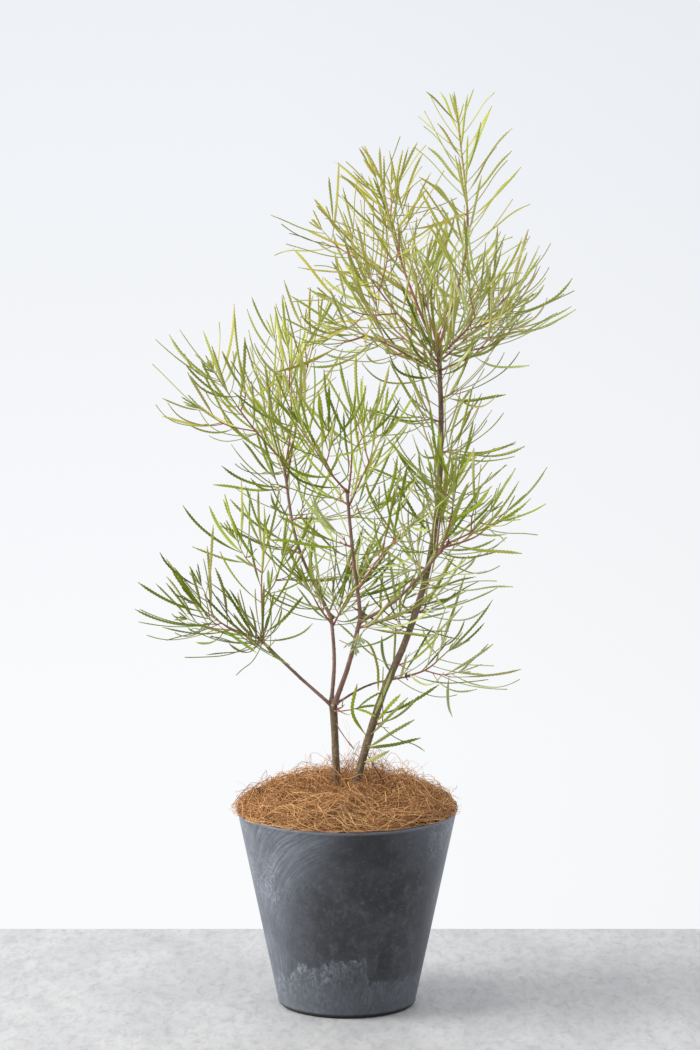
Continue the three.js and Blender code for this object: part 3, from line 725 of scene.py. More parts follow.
def addBlade(heap, shares, spine, heading, across, width, roll, twist):
    rows, foot = len(shares), len(leaf["footRows"])
    teeth = rows - foot - len(leaf["tipRows"])
    face = unitRows(np.cross(across[None, :], heading))
    across = np.cross(heading, face)
    spin = (roll + twist * shares)[:, None]
    across, face = across * np.cos(spin) + face * np.sin(spin), face * np.cos(spin) - across * np.sin(spin)
    grow = easeBetween(shares, 0.04, leaf["fullFrom"])
    ending = 1 - (1 - leaf["tipWidth"]) * easeBetween(shares, leaf["tipFrom"], 1)
    half = width / 2 * (leaf["footWidth"] + (1 - leaf["footWidth"]) * grow) * ending
    tooth = np.zeros(rows)
    tooth[foot:foot + teeth] = np.where(np.arange(teeth) % 2 == 0, 1, -1)
    growing = easeBetween(shares, 0.25, 0.45)
    depth = leaf["toothDepth"] / 2 * min(1, width / leaf["toothedWidth"]) * growing * ending
    lean = leaf["toothLean"] * leaf["toothPitch"] / 2
    left, right = half + depth * tooth, half - depth * tooth
    leftLean, rightLean = lean * np.maximum(tooth, 0), lean * np.maximum(-tooth, 0)
    points = np.stack([spine + across * left[:, None] + heading * leftLean[:, None],
                       spine + face * leaf["rise"],
                       spine - across * right[:, None] + heading * rightLean[:, None],
                       spine - face * leaf["keel"]], axis=1).reshape(-1, 3)
    middle = (shares[:-1] + shares[1:]) / 2
    skins = np.repeat(np.array([[0, 0, 1, 1]]), rows - 1, axis=0)
    skins[middle > leaf["warmTip"]] = 2
    skins[middle > leaf["brownTip"]] = 3
    skins[middle < leaf["footEnd"]] = 4
    last = 4 * (rows - 1)
    ends = [[0, 1, 2, 3], [last + 3, last + 2, last + 1, last]]
    addTo(heap, points, np.vstack([ringFaces(rows, 4)[:, ::-1], ends]), None, np.append(skins.ravel(), [4, 3]))


def addLeaf(heap, start, first, second, length, width, curl, roll, twist):
    shares = bladeShares(length)
    turnIn, turnOut = shares[:, None], easeBetween(shares, 0.5, 1.0)[:, None]
    pull = (first - second) * curl * turnOut * leaf["curlPull"]
    heading = unitRows(first * (1 - turnIn) + second * turnIn + pull)
    steps = heading[:-1] * np.diff(shares)[:, None] * length
    spine = start + np.vstack([np.zeros((1, 3)), np.cumsum(steps, axis=0)])
    across, lit = unit(np.cross(first, second)), unit(np.cross(first + second, leaf["lightFrom"]))
    facing = lerp(leaf["facing"], abs(roll) / math.radians(leaf["roll"]))
    across = unit(across * (1 - facing) + lit * facing * (1 if across @ lit > 0 else -1))
    addBlade(heap, shares, spine, heading, across, width, roll, twist)


def addPlacedLeaf(heap, path, width, roll, twist, across=None):
    curve = curveThrough(path)
    shares = bladeShares(curve["length"])
    spine = pointAt(curve, shares)
    heading = unitRows(np.gradient(spine, axis=0))
    if across is None:
        across = unit(np.cross(heading[len(heading) // 2], loneLeafTurn["faceTo"]))
    addBlade(heap, shares, spine, heading, across, width, roll, twist)


crownLow = np.array(cadLow) / mm - leaf["proud"]
crownHigh = np.array(cadHigh) / mm + leaf["proud"]


def keepsToItsSpace(spray, others, tip, middle):
    if (tip < crownLow).any() or (tip > crownHigh).any():
        return False
    if nearest(tip, *spray["segments"]).min() > nearest(tip, *others).min() + leaf["interlace"]:
        return False
    for point in (tip, middle):
        if (nearest(point, limbStarts, limbEnds) < limbRooms).any():
            return False
    return True


# Leaves are gathered by colour and by the stem that bears them
def heapKey(spray, kind):
    limb = spray["on"]
    while "on" in limbs[limb]:
        limb = limbs[limb]["on"]
    return kind + ("Left" if limb == "stem_left" else "Right")


leafHeaps, leafNodes, leafCount = {}, {}, 0
redTwigs = newHeap()


def heapFor(key):
    return leafHeaps.setdefault(key, newHeap())


def growLeaves(spray, others, curve, count, foot, draw):
    grown, kinds, habit = 0, spray["colours"].split(), spray["habit"]
    beforeBend, afterBend = leaf["bend"]
    for k in range(count):
        place = lerp((foot, 1), ((k + 0.5) / count) ** leaf["crowding"])
        start, along = pointAt(curve, place), headingAt(curve, place)
        angle = lerp((habit["baseAngle"], habit["tipAngle"]), place) + habit["spread"] * (next(draw) - 0.5)
        turn = goldenAngle * k + leaf["turnSpread"] * next(draw)
        first = leaning(along, math.radians(angle), turn)
        sweep = lerp(habit["sweep"], next(draw))
        lift = lerp(habit["lift"], next(draw)) + (leaf["spurLift"] if spray["short"] else 0)
        second = swept(first, along, sweep, lift)
        age = lerp((1, leaf["youngest"]), float(easeBetween(place, leaf["youngFrom"], 1)))
        length = leaf["length"] * lerp(leaf["lengths"], next(draw)) * age
        width = lerp(leaf["width"], next(draw)) * lerp((leaf["youngWidth"], 1), age) * habit["slim"]
        curl = lerp(habit["curl"], next(draw))
        roll = math.radians(leaf["roll"] * (2 * next(draw) - 1))
        twist = math.radians(leaf["twist"] * (2 * next(draw) - 1))
        heap = heapFor(heapKey(spray, kinds[0] if next(draw) < leaf["firstColour"] else kinds[1]))
        for size in leaf["sizesTried"]:
            middle = start + first * length * size * beforeBend
            tip = middle + second * length * size * afterBend
            if keepsToItsSpace(spray, others, tip, middle):
                addLeaf(heap, start, first, second, length * size, width, curl, roll, twist)
                grown += 1
                break
    return grown


def growTuft(spray, curve, draw):
    heap = heapFor(heapKey(spray, spray["colours"].split()[0]))
    along, tip = headingAt(curve, 1.0), pointAt(curve, 0.985)
    for k in range(tuft["leaves"]):
        first = leaning(along, math.radians(lerp(tuft["angle"], next(draw))), goldenAngle * k + next(draw))
        second = swept(first, along, tuft["sweep"], tuft["lift"])
        addLeaf(heap, tip, first, second, lerp(tuft["length"], next(draw)), tuft["width"], tuft["curl"], 0, 0)


for sprayName, spray in plant.items():
    others = [s["segments"] for n, s in plant.items() if n != sprayName]
    others = (np.vstack([o[0] for o in others]), np.vstack([o[1] for o in others]))
    shoots = [(spray["stem"], [r * spray["thick"] for r in twig["radius"]],
               leaf["spurFoot"] if spray["short"] else leaf["foot"])]
    sides = sideTwigs(spray)
    shoots += [(c, twig["sideRadius"], leaf["twigFoot"]) for c in sides]
    shoots += [(c, twig["fineRadius"], leaf["twigFoot"]) for c in fineTwigs(spray, sides)]
    total = sum(c["length"] for c, _, _ in shoots)
    for i, (curve, radius, foot) in enumerate(shoots):
        draw = numberSeries(spray["seed"] * leafSeed + i)
        full = leaf["density"] * spray["full"]
        count = round(spray["leaves"] * full * curve["length"] / total)
        addTwig(redTwigs, curve, radius, twig["greenFrom"])
        leafCount += growLeaves(spray, others, curve, count, foot, draw)
        if curve["length"] > tuft["from"]:
            growTuft(spray, curve, draw)
    if not sprayName.startswith("shoot"):
        leafNodes.setdefault(heapKey(spray, spray["colours"].split()[0]), []).append(sprayName)

# Single leaves that stand straight on the bark: from and to which share of the limb, and how many
barkLeaves = {
    "stem_right": (0.62, 0.97, 40, "tan olive"), "bough_left_upper": (0.4, 0.98, 14, "olive moss"),
    "bough_centre_upper": (0.45, 0.98, 10, "silver moss"), "bough_crossing": (0.45, 0.98, 8, "silver tan"),
    "bough_far_left": (0.62, 0.98, 4, "deep moss"), "bough_centre": (0.6, 0.98, 4, "silver moss"),
}
allSegments = tuple(np.vstack([s["segments"][k] for s in plant.values()]) for k in (0, 1))
for number, (limbName, (low, high, count, colours)) in enumerate(barkLeaves.items()):
    span = trackOf(pointAt(curves[limbName], np.linspace(low, high, 40)))
    bearer = dict(on=limbName, colours=colours, segments=segmentsOf(span, 8), habit=barkHabit, short=False)
    leafCount += growLeaves(bearer, allSegments, span, count, 0, numberSeries(barkSeed + number))

# Lone leaves low on the stems: the way from the bark to the tip, width and colour
loneLeaves = [
    ([[22, -13, 299], [6, -18, 328], [11, -16, 359]], 3.6, "fresh"),
    ([[21, -13, 286], [24, -20, 289], [52, -26, 294], [80, -30, 302]], 4.4, "deep"),
    ([[21, -13, 289], [27, -20, 292], [49, -30, 308], [73, -34, 323]], 3.8, "silver"),
    ([[18, -14, 272], [24, -22, 275], [34, -28, 281], [46, -30, 288]], 3.6, "silver"),
    ([[30, -10, 316], [35, -14, 320], [46, -22, 336], [58, -24, 349]], 3.8, "fresh"),
    ([[25, -12, 302], [29, -18, 306], [46, -24, 325], [66, -22, 345]], 3.4, "silver"),
    ([[33, -8, 323], [53, -14, 330], [76, -20, 343], [100, -20, 359]], 3.4, "moss"),
    ([[10, -4, 329], [24, -8, 341], [38, -8, 349]], 2.8, "moss"),
    ([[9, -4, 329], [21, -14, 328], [31, -22, 324]], 2.8, "fresh"),
    ([[5, -3, 328], [20, -10, 333], [32, -20, 336]], 2.6, "moss"),
    ([[8, -7, 412], [24, -10, 402], [33, -10, 378], [34, -12, 351]], 3.0, "gold"),
    ([[51, -3, 378], [45, -8, 361], [30, -17, 325]], 3.2, "silver"),
]
loneLeafTurn = {"faceTo": [0.15, -1, 0.35], "roll": 0.5, "twist": 0.4}
looseTwig = {"path": [[-14, 9, 325], [-11, 2, 325], [10, -4, 329]], "radius": [0.9, 0.5]}
for k, (path, width, kind) in enumerate(loneLeaves):
    roll, twist = loneLeafTurn["roll"] * math.sin(k * 2.1), loneLeafTurn["twist"] * math.cos(k)
    addPlacedLeaf(heapFor(kind + "Left"), path, width, roll, twist)
addTwig(redTwigs, curveThrough(looseTwig["path"]), looseTwig["radius"], 1)
print("leaves grown:", leafCount, "triangles:", sum(trianglesIn(h) for h in leafHeaps.values()))

# Leaf colours by kind: the upper face and the paler face below
leafColours = {
    "lime": ((164, 169, 66), (180, 184, 96)),
    "gold": ((156, 149, 52), (168, 163, 80)),
    "olive": ((138, 144, 54), (156, 161, 82)),
    "fresh": ((132, 147, 28), (150, 159, 58)),
    "moss": ((102, 119, 14), (130, 138, 42)),
    # deep: a darker green for leaves low on the far left and low on the right, partly their own tone and partly
    # painted shade from the crown above them
    "deep": ((97, 107, 28), (128, 131, 60)),
    "silver": ((160, 168, 94), (185, 188, 124)),
    "tan": ((150, 136, 84), (168, 154, 112)),
}
leafFinish = {
    "roughness": 0.5,
    "gloss": 0.17,
    "spread": 0.16,  # how far one leaf's tone may be from the next one's
    "grain": 0.25,
    "grainDepth": 0.0002,
    "tan": (160, 148, 92),
    "tanned": [0.78, 0.86, 0.0, 0.6],
    "warmTip": (172, 162, 84),
    "brownTip": (172, 140, 92),
    "foot": (150, 122, 72),
    "downy": (168, 178, 138),
}


def leafSkin(name, colour, roughness=leafFinish["roughness"]):
    skin, tree = newSkin(name, colour, roughness, Specular_IOR_Level=leafFinish["gloss"])
    chance = addNode(tree, "ShaderNodeNewGeometry").outputs["Random Per Island"]
    darker = [c * (1 - leafFinish["spread"]) for c in colour]
    lighter = [min(c * (1 + 0.6 * leafFinish["spread"]), 255) for c in colour]
    colour = blendColours(tree, chance, darker, lighter)
    colour = blendColours(tree, stretchTo(tree, chance, *leafFinish["tanned"]), colour, leafFinish["tan"])
    grain = noiseOn(tree, placeOnPiece(tree), 900, 3)
    return finishSkin(skin, colour, grain, leafFinish["grain"], leafFinish["grainDepth"])


leafEnds = [leafSkin("leafWarmTip", leafFinish["warmTip"]),
            leafSkin("leafBrownTip", leafFinish["brownTip"], 0.7),
            leafSkin("leafFoot", leafFinish["foot"])]
leafFaces = {kind: [leafSkin(kind + "LeafUpper", upper), leafSkin(kind + "LeafUnder", under, 0.65)]
             for kind, (upper, under) in leafColours.items()}
for key, heap in leafHeaps.items():
    kind = key.removesuffix("Left").removesuffix("Right")
    makePiece(key + "Leaves", heap, leafFaces[kind] + leafEnds, leafNodes.get(key, []), crease=35)

# Twigs, buds and scars: each name with its own tone and a darker one
twigTones = {
    "redTwig": [(154, 98, 70), (116, 68, 52)],
    "greenTwig": [(164, 158, 82), (146, 128, 74)],
    "budScale": [(118, 72, 48), (92, 52, 36)],
    "topBud": [(190, 128, 62), (160, 98, 52)],
    "paleScar": [(168, 148, 116), (138, 114, 84)],
    "dryLeaf": [(134, 92, 60), (110, 72, 46)],
}


def twigSkin(name):
    skin, tree = newSkin(name, twigTones[name][0], 0.55)
    fine = noiseOn(tree, placeOnPiece(tree, (500, 500, 220)), 1.0, 4)
    colour = blendColours(tree, stretchTo(tree, fine, 0.4, 0.65), *twigTones[name])
    return finishSkin(skin, colour, fine, 0.4, 0.0002)


solidSprays = [name for name in plant if not name.startswith("shoot")]
makePiece("twigs", redTwigs, [twigSkin("redTwig"), twigSkin("greenTwig")], solidSprays, crease=60)

# Bud scales stand where the limbs end, downy young leaves hang on the middle bough, and a dry leaf
# and a scar are left on the short stem
oddments = {
    "scales": 11,
    "scaleAngle": [20, 70],
    "scaleLength": [3.5, 7.5],
    "scaleWidth": 2.2,
    "budPath": [[99, 3, 723], [98, 0, 730], [99, -1, 741]],
    "budRadii": [1.4, 2.1, 2.3, 2.0, 1.3, 0.4],
    "budScales": 14,
    "budScaleSize": [5.5, 2.4],
    "downyPlaces": [[6, -4, 404], [11, -7, 409], [9, -6, 399]],
    "downyLeaves": 9,
    "downyAngle": [15, 75],
    "downyLength": [6, 13],
    "downyWidth": 1.8,
    "dryPath": [[-12, 9, 312], [-8, 0, 305], [0, -4, 294], [8, -8, 285]],
    "dryWidth": 2.6,
    "scarPlace": [-15.5, 12, 331],
    "scarRadius": 2.0,
}


def stubbyLeaf(heap, start, direction, length, width, skin):
    shares = np.linspace(0, 1, 7)
    spine = start + direction * (shares * length)[:, None]
    side = unit(np.cross(direction, [0.3, 0.2, 0.9]))
    face = np.cross(side, direction)
    half = width / 2 * np.sin(np.pi * (0.12 + 0.84 * shares)) ** 0.8
    points = np.stack([spine + side * half[:, None], spine + face * 0.3, spine - side * half[:, None],
                       spine - face * 0.3], axis=1).reshape(-1, 3)
    ends = [[0, 1, 2, 3], [27, 26, 25, 24]]
    addTo(heap, points, np.vstack([ringFaces(7, 4)[:, ::-1], ends]), None, skin)


budHeap, downyHeap, dryHeap = newHeap(), newHeap(), newHeap()
budDraw = np.random.default_rng(7)
for limbName, curve in curves.items():
    tip, along = pointAt(curve, 0.985), headingAt(curve, 1.0)
    for k in range(oddments["scales"]):
        way = leaning(along, math.radians(budDraw.uniform(*oddments["scaleAngle"])), goldenAngle * k)
        stubbyLeaf(budHeap, tip + way * limbs[limbName]["radius"][1] * 0.6, way,
                   budDraw.uniform(*oddments["scaleLength"]), oddments["scaleWidth"], 0)
budLine = pointAt(curveThrough(oddments["budPath"]), np.linspace(0, 1, len(oddments["budRadii"])))
addTo(budHeap, *tubeAlong(budLine, oddments["budRadii"], 10), 1)
for k in range(oddments["budScales"]):
    way = leaning(upward, math.radians(12 + 14 * (k % 3)), goldenAngle * k)
    start = pointAt(trackOf(budLine), 0.1 + 0.05 * k) + way * 1.2
    stubbyLeaf(budHeap, start, way, *oddments["budScaleSize"], 1)
scarLine = np.array(oddments["scarPlace"], float) + np.outer([-5.6, -5.75, -5.85], [0, 1, 0])
addTo(budHeap, *tubeAlong(scarLine, np.array([1, 0.92, 0.55]) * oddments["scarRadius"], 14), 2)
addPlacedLeaf(dryHeap, oddments["dryPath"], oddments["dryWidth"], 0.3, 2.2, np.array([0.8, 0.3, 0.5]))
addTo(budHeap, dryHeap["points"][0], dryHeap["fours"][0], None, 3)
for place in oddments["downyPlaces"]:
    for k in range(oddments["downyLeaves"]):
        way = leaning(-upward, math.radians(budDraw.uniform(*oddments["downyAngle"])), goldenAngle * k)
        first = unit(way + [0, -0.5, 0])
        addLeaf(downyHeap, np.array(place, float), first, unit(first - upward * 0.5),
                budDraw.uniform(*oddments["downyLength"]), oddments["downyWidth"], 0, 0, 0.4)
downyHeap["fourSkins"] = [np.zeros(len(faces), int) for faces in downyHeap["fours"]]
budSkins = [twigSkin(name) for name in ("budScale", "topBud", "paleScar", "dryLeaf")]
makePiece("budScales", budHeap, budSkins, crease=50)
makePiece("downyLeaves", downyHeap, [leafSkin("downyLeaf", leafFinish["downy"], 0.8)], crease=35)

# Coir mulch: a dark mound under thousands of loose strands
coir = {
    "radius": 120,
    "edge": 218,  # height of the mound where it meets the rim, and at its middle
    "crown": 245,
    "round": 0.68,
    "heaps": [(-68, 6, 7, 27), (58, -14, 3, 26), (6, -8, -6, 24)],  # each at x, y, with its height and spread
    "waves": 5,
    "waveHeight": 3,
    "waveLength": 21,
    "moundSides": 96,
    "moundRings": 22,
    "moundFoot": [(108, 201), (111, 211), (112.5, 216)],  # radius and height of the rings under the rim
    "sink": 4,  # the dark mound lies this far under the strands
    "lumps": 7.5,
    "lumpGrain": [(0.045, 3.1), (0.12, 8.7)],
    "strands": 2950,
    "strandLength": [34, 120],
    "strandReach": [119.5, 125],  # most of them end at the rim
    "headingSpread": 1.3,
    "rimSteadies": 0.75,  # so much of that spread is gone at the rim
    "rimFrom": 113.5,
    "restOnRim": 217.6,
    "restInside": 214.5,
    "strandRadius": [0.14, 0.38],
    "strandRows": 10,
    "strandMix": [0.3, 0.55, 0.15],  # shares of straw, fox and nut strands
    "strandWave": [0.1, 0.8],
    "waveTurns": [3, 9],
    "lift": [-3.4, 2.0],
    "arch": [0, 4.6],
    "rimStrands": 900,
    "overhang": 7,  # to the left, past the rim
    "nestStrands": 270,
    "nestHeight": [7, 40],  # of the nest of loops: all over the mound, and more round the stems
    "nestSpread": 46,
    "nestCentre": (12, 20),
    "nestWidth": (42, 36),
    "nestSteps": [7, 24],
    "nestRadius": [0.15, 0.32],
    "nestMix": [0.3, 0.48, 0.22],
    "shag": 520,  # long strands that stand off the mound in arcs
    "shagArch": [4, 13],
    "wisps": 560,
    "wispLength": [7, 22],
    "wispLean": [0.6, 1.9],
    "wispRadius": [0.09, 0.2],
    "hairs": 6,
    "hairLength": [35, 75],
    "hairPlaces": [(-50, 75), (-40, 40)],
    "hairSway": (14, 8),
    "hairRadius": 0.1,
    "crumbs": 46,  # of husk
    "crumbSize": [1.6, 4.2],
    "stick": [[43, -18, 246], [33, -16, 262], [22, -14, 281]],
    "stickRadius": [0.9, 0.45],
}
coirTones = {
    "strawStrand": [(218, 174, 120), (198, 150, 98)],
    "foxStrand": [(184, 136, 88), (160, 112, 70)],
    "nutStrand": [(130, 88, 56), (100, 66, 42)],
    "huskDust": [(88, 60, 40), (64, 44, 30)],
}
coirStain = (86, 54, 32)


def moundHeight(x, y):
    out = np.hypot(x, y)
    dome = np.clip(1 - (out / coir["radius"]) ** 2, 0, 1) ** coir["round"]
    high = lerp((coir["edge"], coir["crown"]), dome)
    for besideX, besideY, more, spread in coir["heaps"]:
        high = high + more * np.exp(-((x - besideX) ** 2 + (y - besideY) ** 2) / spread ** 2)
    turn = np.arctan2(y, x) * coir["waves"]
    return high + coir["waveHeight"] * easeBetween(out, 0, 45) * np.sin(turn + out / coir["waveLength"])


def lumpAt(x, y):
    broad, fine = (noise.noise(Vector((x * grain, y * grain, layer))) for grain, layer in coir["lumpGrain"])
    return coir["lumps"] * (broad + 0.5 * fine) * (1 - 0.7 * float(easeBetween(math.hypot(x, y), 80, 115)))


def layMound(heap):
    turns, steps = turnsOf(coir["moundSides"]), coir["moundRings"]
    rings = [flatRing(out, height, turns) for out, height in coir["moundFoot"]]
    for k in range(steps):
        out = (coir["radius"] - 6) * math.cos(k / steps * math.pi / 2)
        x, y = out * np.cos(turns), out * np.sin(turns)
        lump = np.array([lumpAt(a, b) for a, b in zip(x, y)])
        rings.append(np.stack([x, y, moundHeight(x, y) - coir["sink"] + lump * 0.8], 1))
    addRings(heap, rings, coir["moundFoot"][0][1], float(moundHeight(0.01, 0)) - coir["sink"], 3)


def spotOnMound(draw, reach, inner, outer=1):
    out = reach * math.sqrt(draw.uniform(inner, outer))
    turn = draw.uniform(0, 2 * math.pi)
    return out, turn, out * math.cos(turn), out * math.sin(turn)


def addStrand(heap, line, radius, skin):
    taper = radius * (1 - 0.55 * np.abs(np.linspace(-1, 1, len(line))) ** 3)
    addTo(heap, *tubeAlong(line, taper, 3), skin)


def strandSkin(draw, mix="strandMix"):
    return int(draw.choice([0, 1, 2], p=coir[mix]))


def layStrands(heap, draw, count, atRim, arch):
    rows = coir["strandRows"]
    way = np.linspace(0, 1, rows)
    for _ in range(count):
        out, turn, x, y = spotOnMound(draw, coir["radius"] - 2, 0.8 if atRim else 0.01)
        edge = float(easeBetween(out, 30, 105))
        spread = coir["headingSpread"] - coir["rimSteadies"] * edge
        heading = turn + math.pi / 2 * draw.choice([-1, 1]) + draw.normal(0, spread)
        length = draw.uniform(*coir["strandLength"]) * (0.5 + 0.5 * draw.uniform())
        bend = draw.normal(0, 0.55) + (0.5 if math.sin(heading - turn) > 0 else -0.5) * edge * length / 115
        depth, phase = draw.uniform(*coir["strandWave"]), draw.uniform(0, 6.3)
        wave = depth * np.sin(phase + way * draw.uniform(*coir["waveTurns"]))
        angles = heading + (way - 0.5) * bend * 2 + wave + draw.normal(0, 0.05, rows)
        steps = np.stack([np.cos(angles), np.sin(angles)], 1) * length / (rows - 1)
        flat = np.cumsum(steps, axis=0)
        flat = flat - flat[rows // 2] + [x, y]
        nearRim, pastRim = coir["strandReach"]
        limit = nearRim + draw.uniform(-6, 2) if atRim or draw.uniform() < 0.9 else pastRim
        limit = limit + coir["overhang"] * max(0, -math.cos(turn)) * draw.uniform()
        flat = flat * np.minimum(1, limit / np.maximum(np.hypot(flat[:, 0], flat[:, 1]), 1e-6))[:, None]
        high = moundHeight(flat[:, 0], flat[:, 1]) + np.array([lumpAt(a, b) for a, b in flat])
        lift = draw.uniform(*coir["lift"]) + draw.uniform(*arch) * np.sin(way * math.pi)
        if atRim:
            lift = lift - draw.uniform(0, 7)
        high = high + lift + draw.normal(0, 0.3, rows)
        onRim = np.hypot(flat[:, 0], flat[:, 1]) > coir["rimFrom"]
        rest = np.where(onRim, coir["restOnRim"] + draw.uniform(0, 1.2), coir["restInside"])
        line = np.column_stack([flat, np.maximum(high, rest)])
        addStrand(heap, line, draw.uniform(*coir["strandRadius"]), strandSkin(draw))


# A loose nest of loops stands out of the mound, most of it round the stems
def layNest(heap, draw):
    for _ in range(coir["nestStrands"]):
        x, y = (draw.normal(*place) for place in zip(coir["nestCentre"], coir["nestWidth"]))
        if math.hypot(x, y) > coir["radius"] - 12:
            continue
        low, more = coir["nestHeight"]
        tall = low + more * math.exp(-((x - 8) / coir["nestSpread"]) ** 2)
        heading, points = draw.uniform(0, 2 * math.pi), [[x, y, float(moundHeight(x, y)) - 4]]
        for _ in range(5):
            heading += draw.normal(0, 1.0)
            step = draw.uniform(*coir["nestSteps"])
            x, y = x + step * math.cos(heading), y + step * math.sin(heading)
            inside = min(1, coir["radius"] / math.hypot(x, y))
            x, y = x * inside, y * inside
            points.append([x, y, float(moundHeight(x, y)) - 3 + tall * draw.beta(1.1, 2.2)])
        line = pointAt(curveThrough(points), np.linspace(0, 1, 20))
        addStrand(heap, line, draw.uniform(*coir["nestRadius"]), strandSkin(draw, "nestMix"))


# Wisps lift off it all over, and a few hairs stand up
def layWisps(heap, draw):
    for _ in range(coir["wisps"]):
        x, y = spotOnMound(draw, coir["radius"], 0.05, 0.98)[2:]
        length, lean = draw.uniform(*coir["wispLength"]), draw.uniform(*coir["wispLean"])
        heading, t = draw.uniform(0, 2 * math.pi), np.linspace(0, 1, 7)
        away = length * lean * t ** 1.6
        line = np.stack([x + away * math.cos(heading), y + away * math.sin(heading),
                         float(moundHeight(x, y)) - 3 + length * t * (1 - 0.35 * lean * t)], 1)
        reach = np.maximum(np.hypot(line[:, 0], line[:, 1]) / (coir["radius"] + 6), 1)
        line[:, :2] /= reach[:, None]
        addStrand(heap, line, draw.uniform(*coir["wispRadius"]), strandSkin(draw))
    for _ in range(coir["hairs"]):
        turn, size = draw.uniform(0, 2 * math.pi), draw.uniform(*coir["hairLength"])
        x, y = (draw.uniform(*place) for place in coir["hairPlaces"])
        t, (swayX, swayY) = np.linspace(0, 1, 16), coir["hairSway"]
        line = np.stack([x + swayX * np.sin(t * 2.6 + turn), y + swayY * np.cos(t * 3.1 + turn),
                         float(moundHeight(x, y)) - 2 + size * t], 1)
        addStrand(heap, line, coir["hairRadius"], 0)


# Crumbs of husk lie among the strands, and one dark stick leans out of them
def layCrumbs(heap, draw):
    for _ in range(coir["crumbs"]):
        x, y = spotOnMound(draw, coir["radius"] - 8, 0.02)[2:]
        heading, size = draw.uniform(0, 2 * math.pi), draw.uniform(*coir["crumbSize"])
        t = np.linspace(-0.5, 0.5, 5)
        line = np.stack([x + size * t * math.cos(heading), y + size * t * math.sin(heading),
                         float(moundHeight(x, y)) + lumpAt(x, y) + 0.6 + draw.normal(0, 0.4, 5)], 1)
        radii = size * 0.28 * (1 - (2 * t) ** 2 * 0.8)[:, None] * draw.uniform(0.6, 1.2, (5, 6))
        addTo(heap, *tubeAlong(line, radii, 6), 3)
    t = np.linspace(0, 1, 14)
    addTo(heap, *tubeAlong(pointAt(curveThrough(coir["stick"]), t), lerp(coir["stickRadius"], t), 6), 3)


def coirSkin(name, light, dark):
    skin, tree = newSkin(name, light, 0.8, Specular_IOR_Level=0.2)
    chance = addNode(tree, "ShaderNodeNewGeometry").outputs["Random Per Island"]
    fine = noiseOn(tree, placeOnPiece(tree), 420, 3)
    colour = blendColours(tree, chance, light, dark)
    colour = blendColours(tree, stretchTo(tree, fine, 0.5, 0.75, 0, 0.45), colour, coirStain)
    return finishSkin(skin, colour, fine, 0.4, 0.0003)


coirSkins = [coirSkin(name, *tones) for name, tones in coirTones.items()]
coirHeap, loopHeap, coirDraw = newHeap(), newHeap(), np.random.default_rng(41)
layMound(coirHeap)
layStrands(coirHeap, coirDraw, coir["strands"], False, coir["arch"])
layCrumbs(coirHeap, coirDraw)
layStrands(loopHeap, coirDraw, coir["rimStrands"], True, coir["arch"])
layStrands(loopHeap, coirDraw, coir["shag"], False, coir["shagArch"])
layNest(loopHeap, coirDraw)
layWisps(loopHeap, coirDraw)
makePiece("coirMulch", coirHeap, coirSkins, ["coir_mulch"], crease=80)
makePiece("coirLoops", loopHeap, coirSkins, ["coir_mulch"], crease=80)

# Pot: tapered resin with a thin rounded rim and a recessed foot
pot = {
    "height": 217,
    "rimRadius": 120,
    "baseRadius": 75,
    "wall": 5,
    "floor": 8,
    "footHeight": 2,
    "footInset": 3,
    "cornerWidth": 2.5,
    "cornerHeight": 5,
    "lip": 1.9,
    "sides": 160,
    "wallRows": 40,
}


def wallAt(z):
    slope = (pot["rimRadius"] - pot["baseRadius"]) / (pot["height"] - pot["footHeight"])
    return pot["baseRadius"] + slope * (z - pot["footHeight"])


def potProfile():
    lip, top, footHeight, corner = (pot[key] for key in ("lip", "height", "footHeight", "cornerHeight"))
    foot = pot["baseRadius"] - pot["footInset"]
    rows = [(foot, 0), (foot, footHeight)]
    for turn in np.linspace(0, math.pi / 2, 8):
        inset = pot["cornerWidth"] * (1 - math.sin(turn))
        rows.append((wallAt(footHeight + corner) - inset, footHeight + corner * (1 - math.cos(turn))))
    rows += [(wallAt(z), z) for z in np.linspace(12, top - lip - 4, pot["wallRows"])]
    rows += [(wallAt(top - lip - 3.2), top - lip - 3.2), (wallAt(top - lip - 2.4) + 0.35, top - lip - 2.2)]
    half = pot["wall"] / 2
    for turn in np.linspace(0, math.pi, 14):
        rows.append((wallAt(top) - half + (half + 0.2) * math.cos(turn), top - lip + lip * math.sin(turn)))
    rows += [(wallAt(z) - pot["wall"], z) for z in np.linspace(top - lip - 4, pot["floor"] + 3, 12)]
    return rows + [(wallAt(pot["floor"]) - pot["wall"] - 2.5, pot["floor"])]


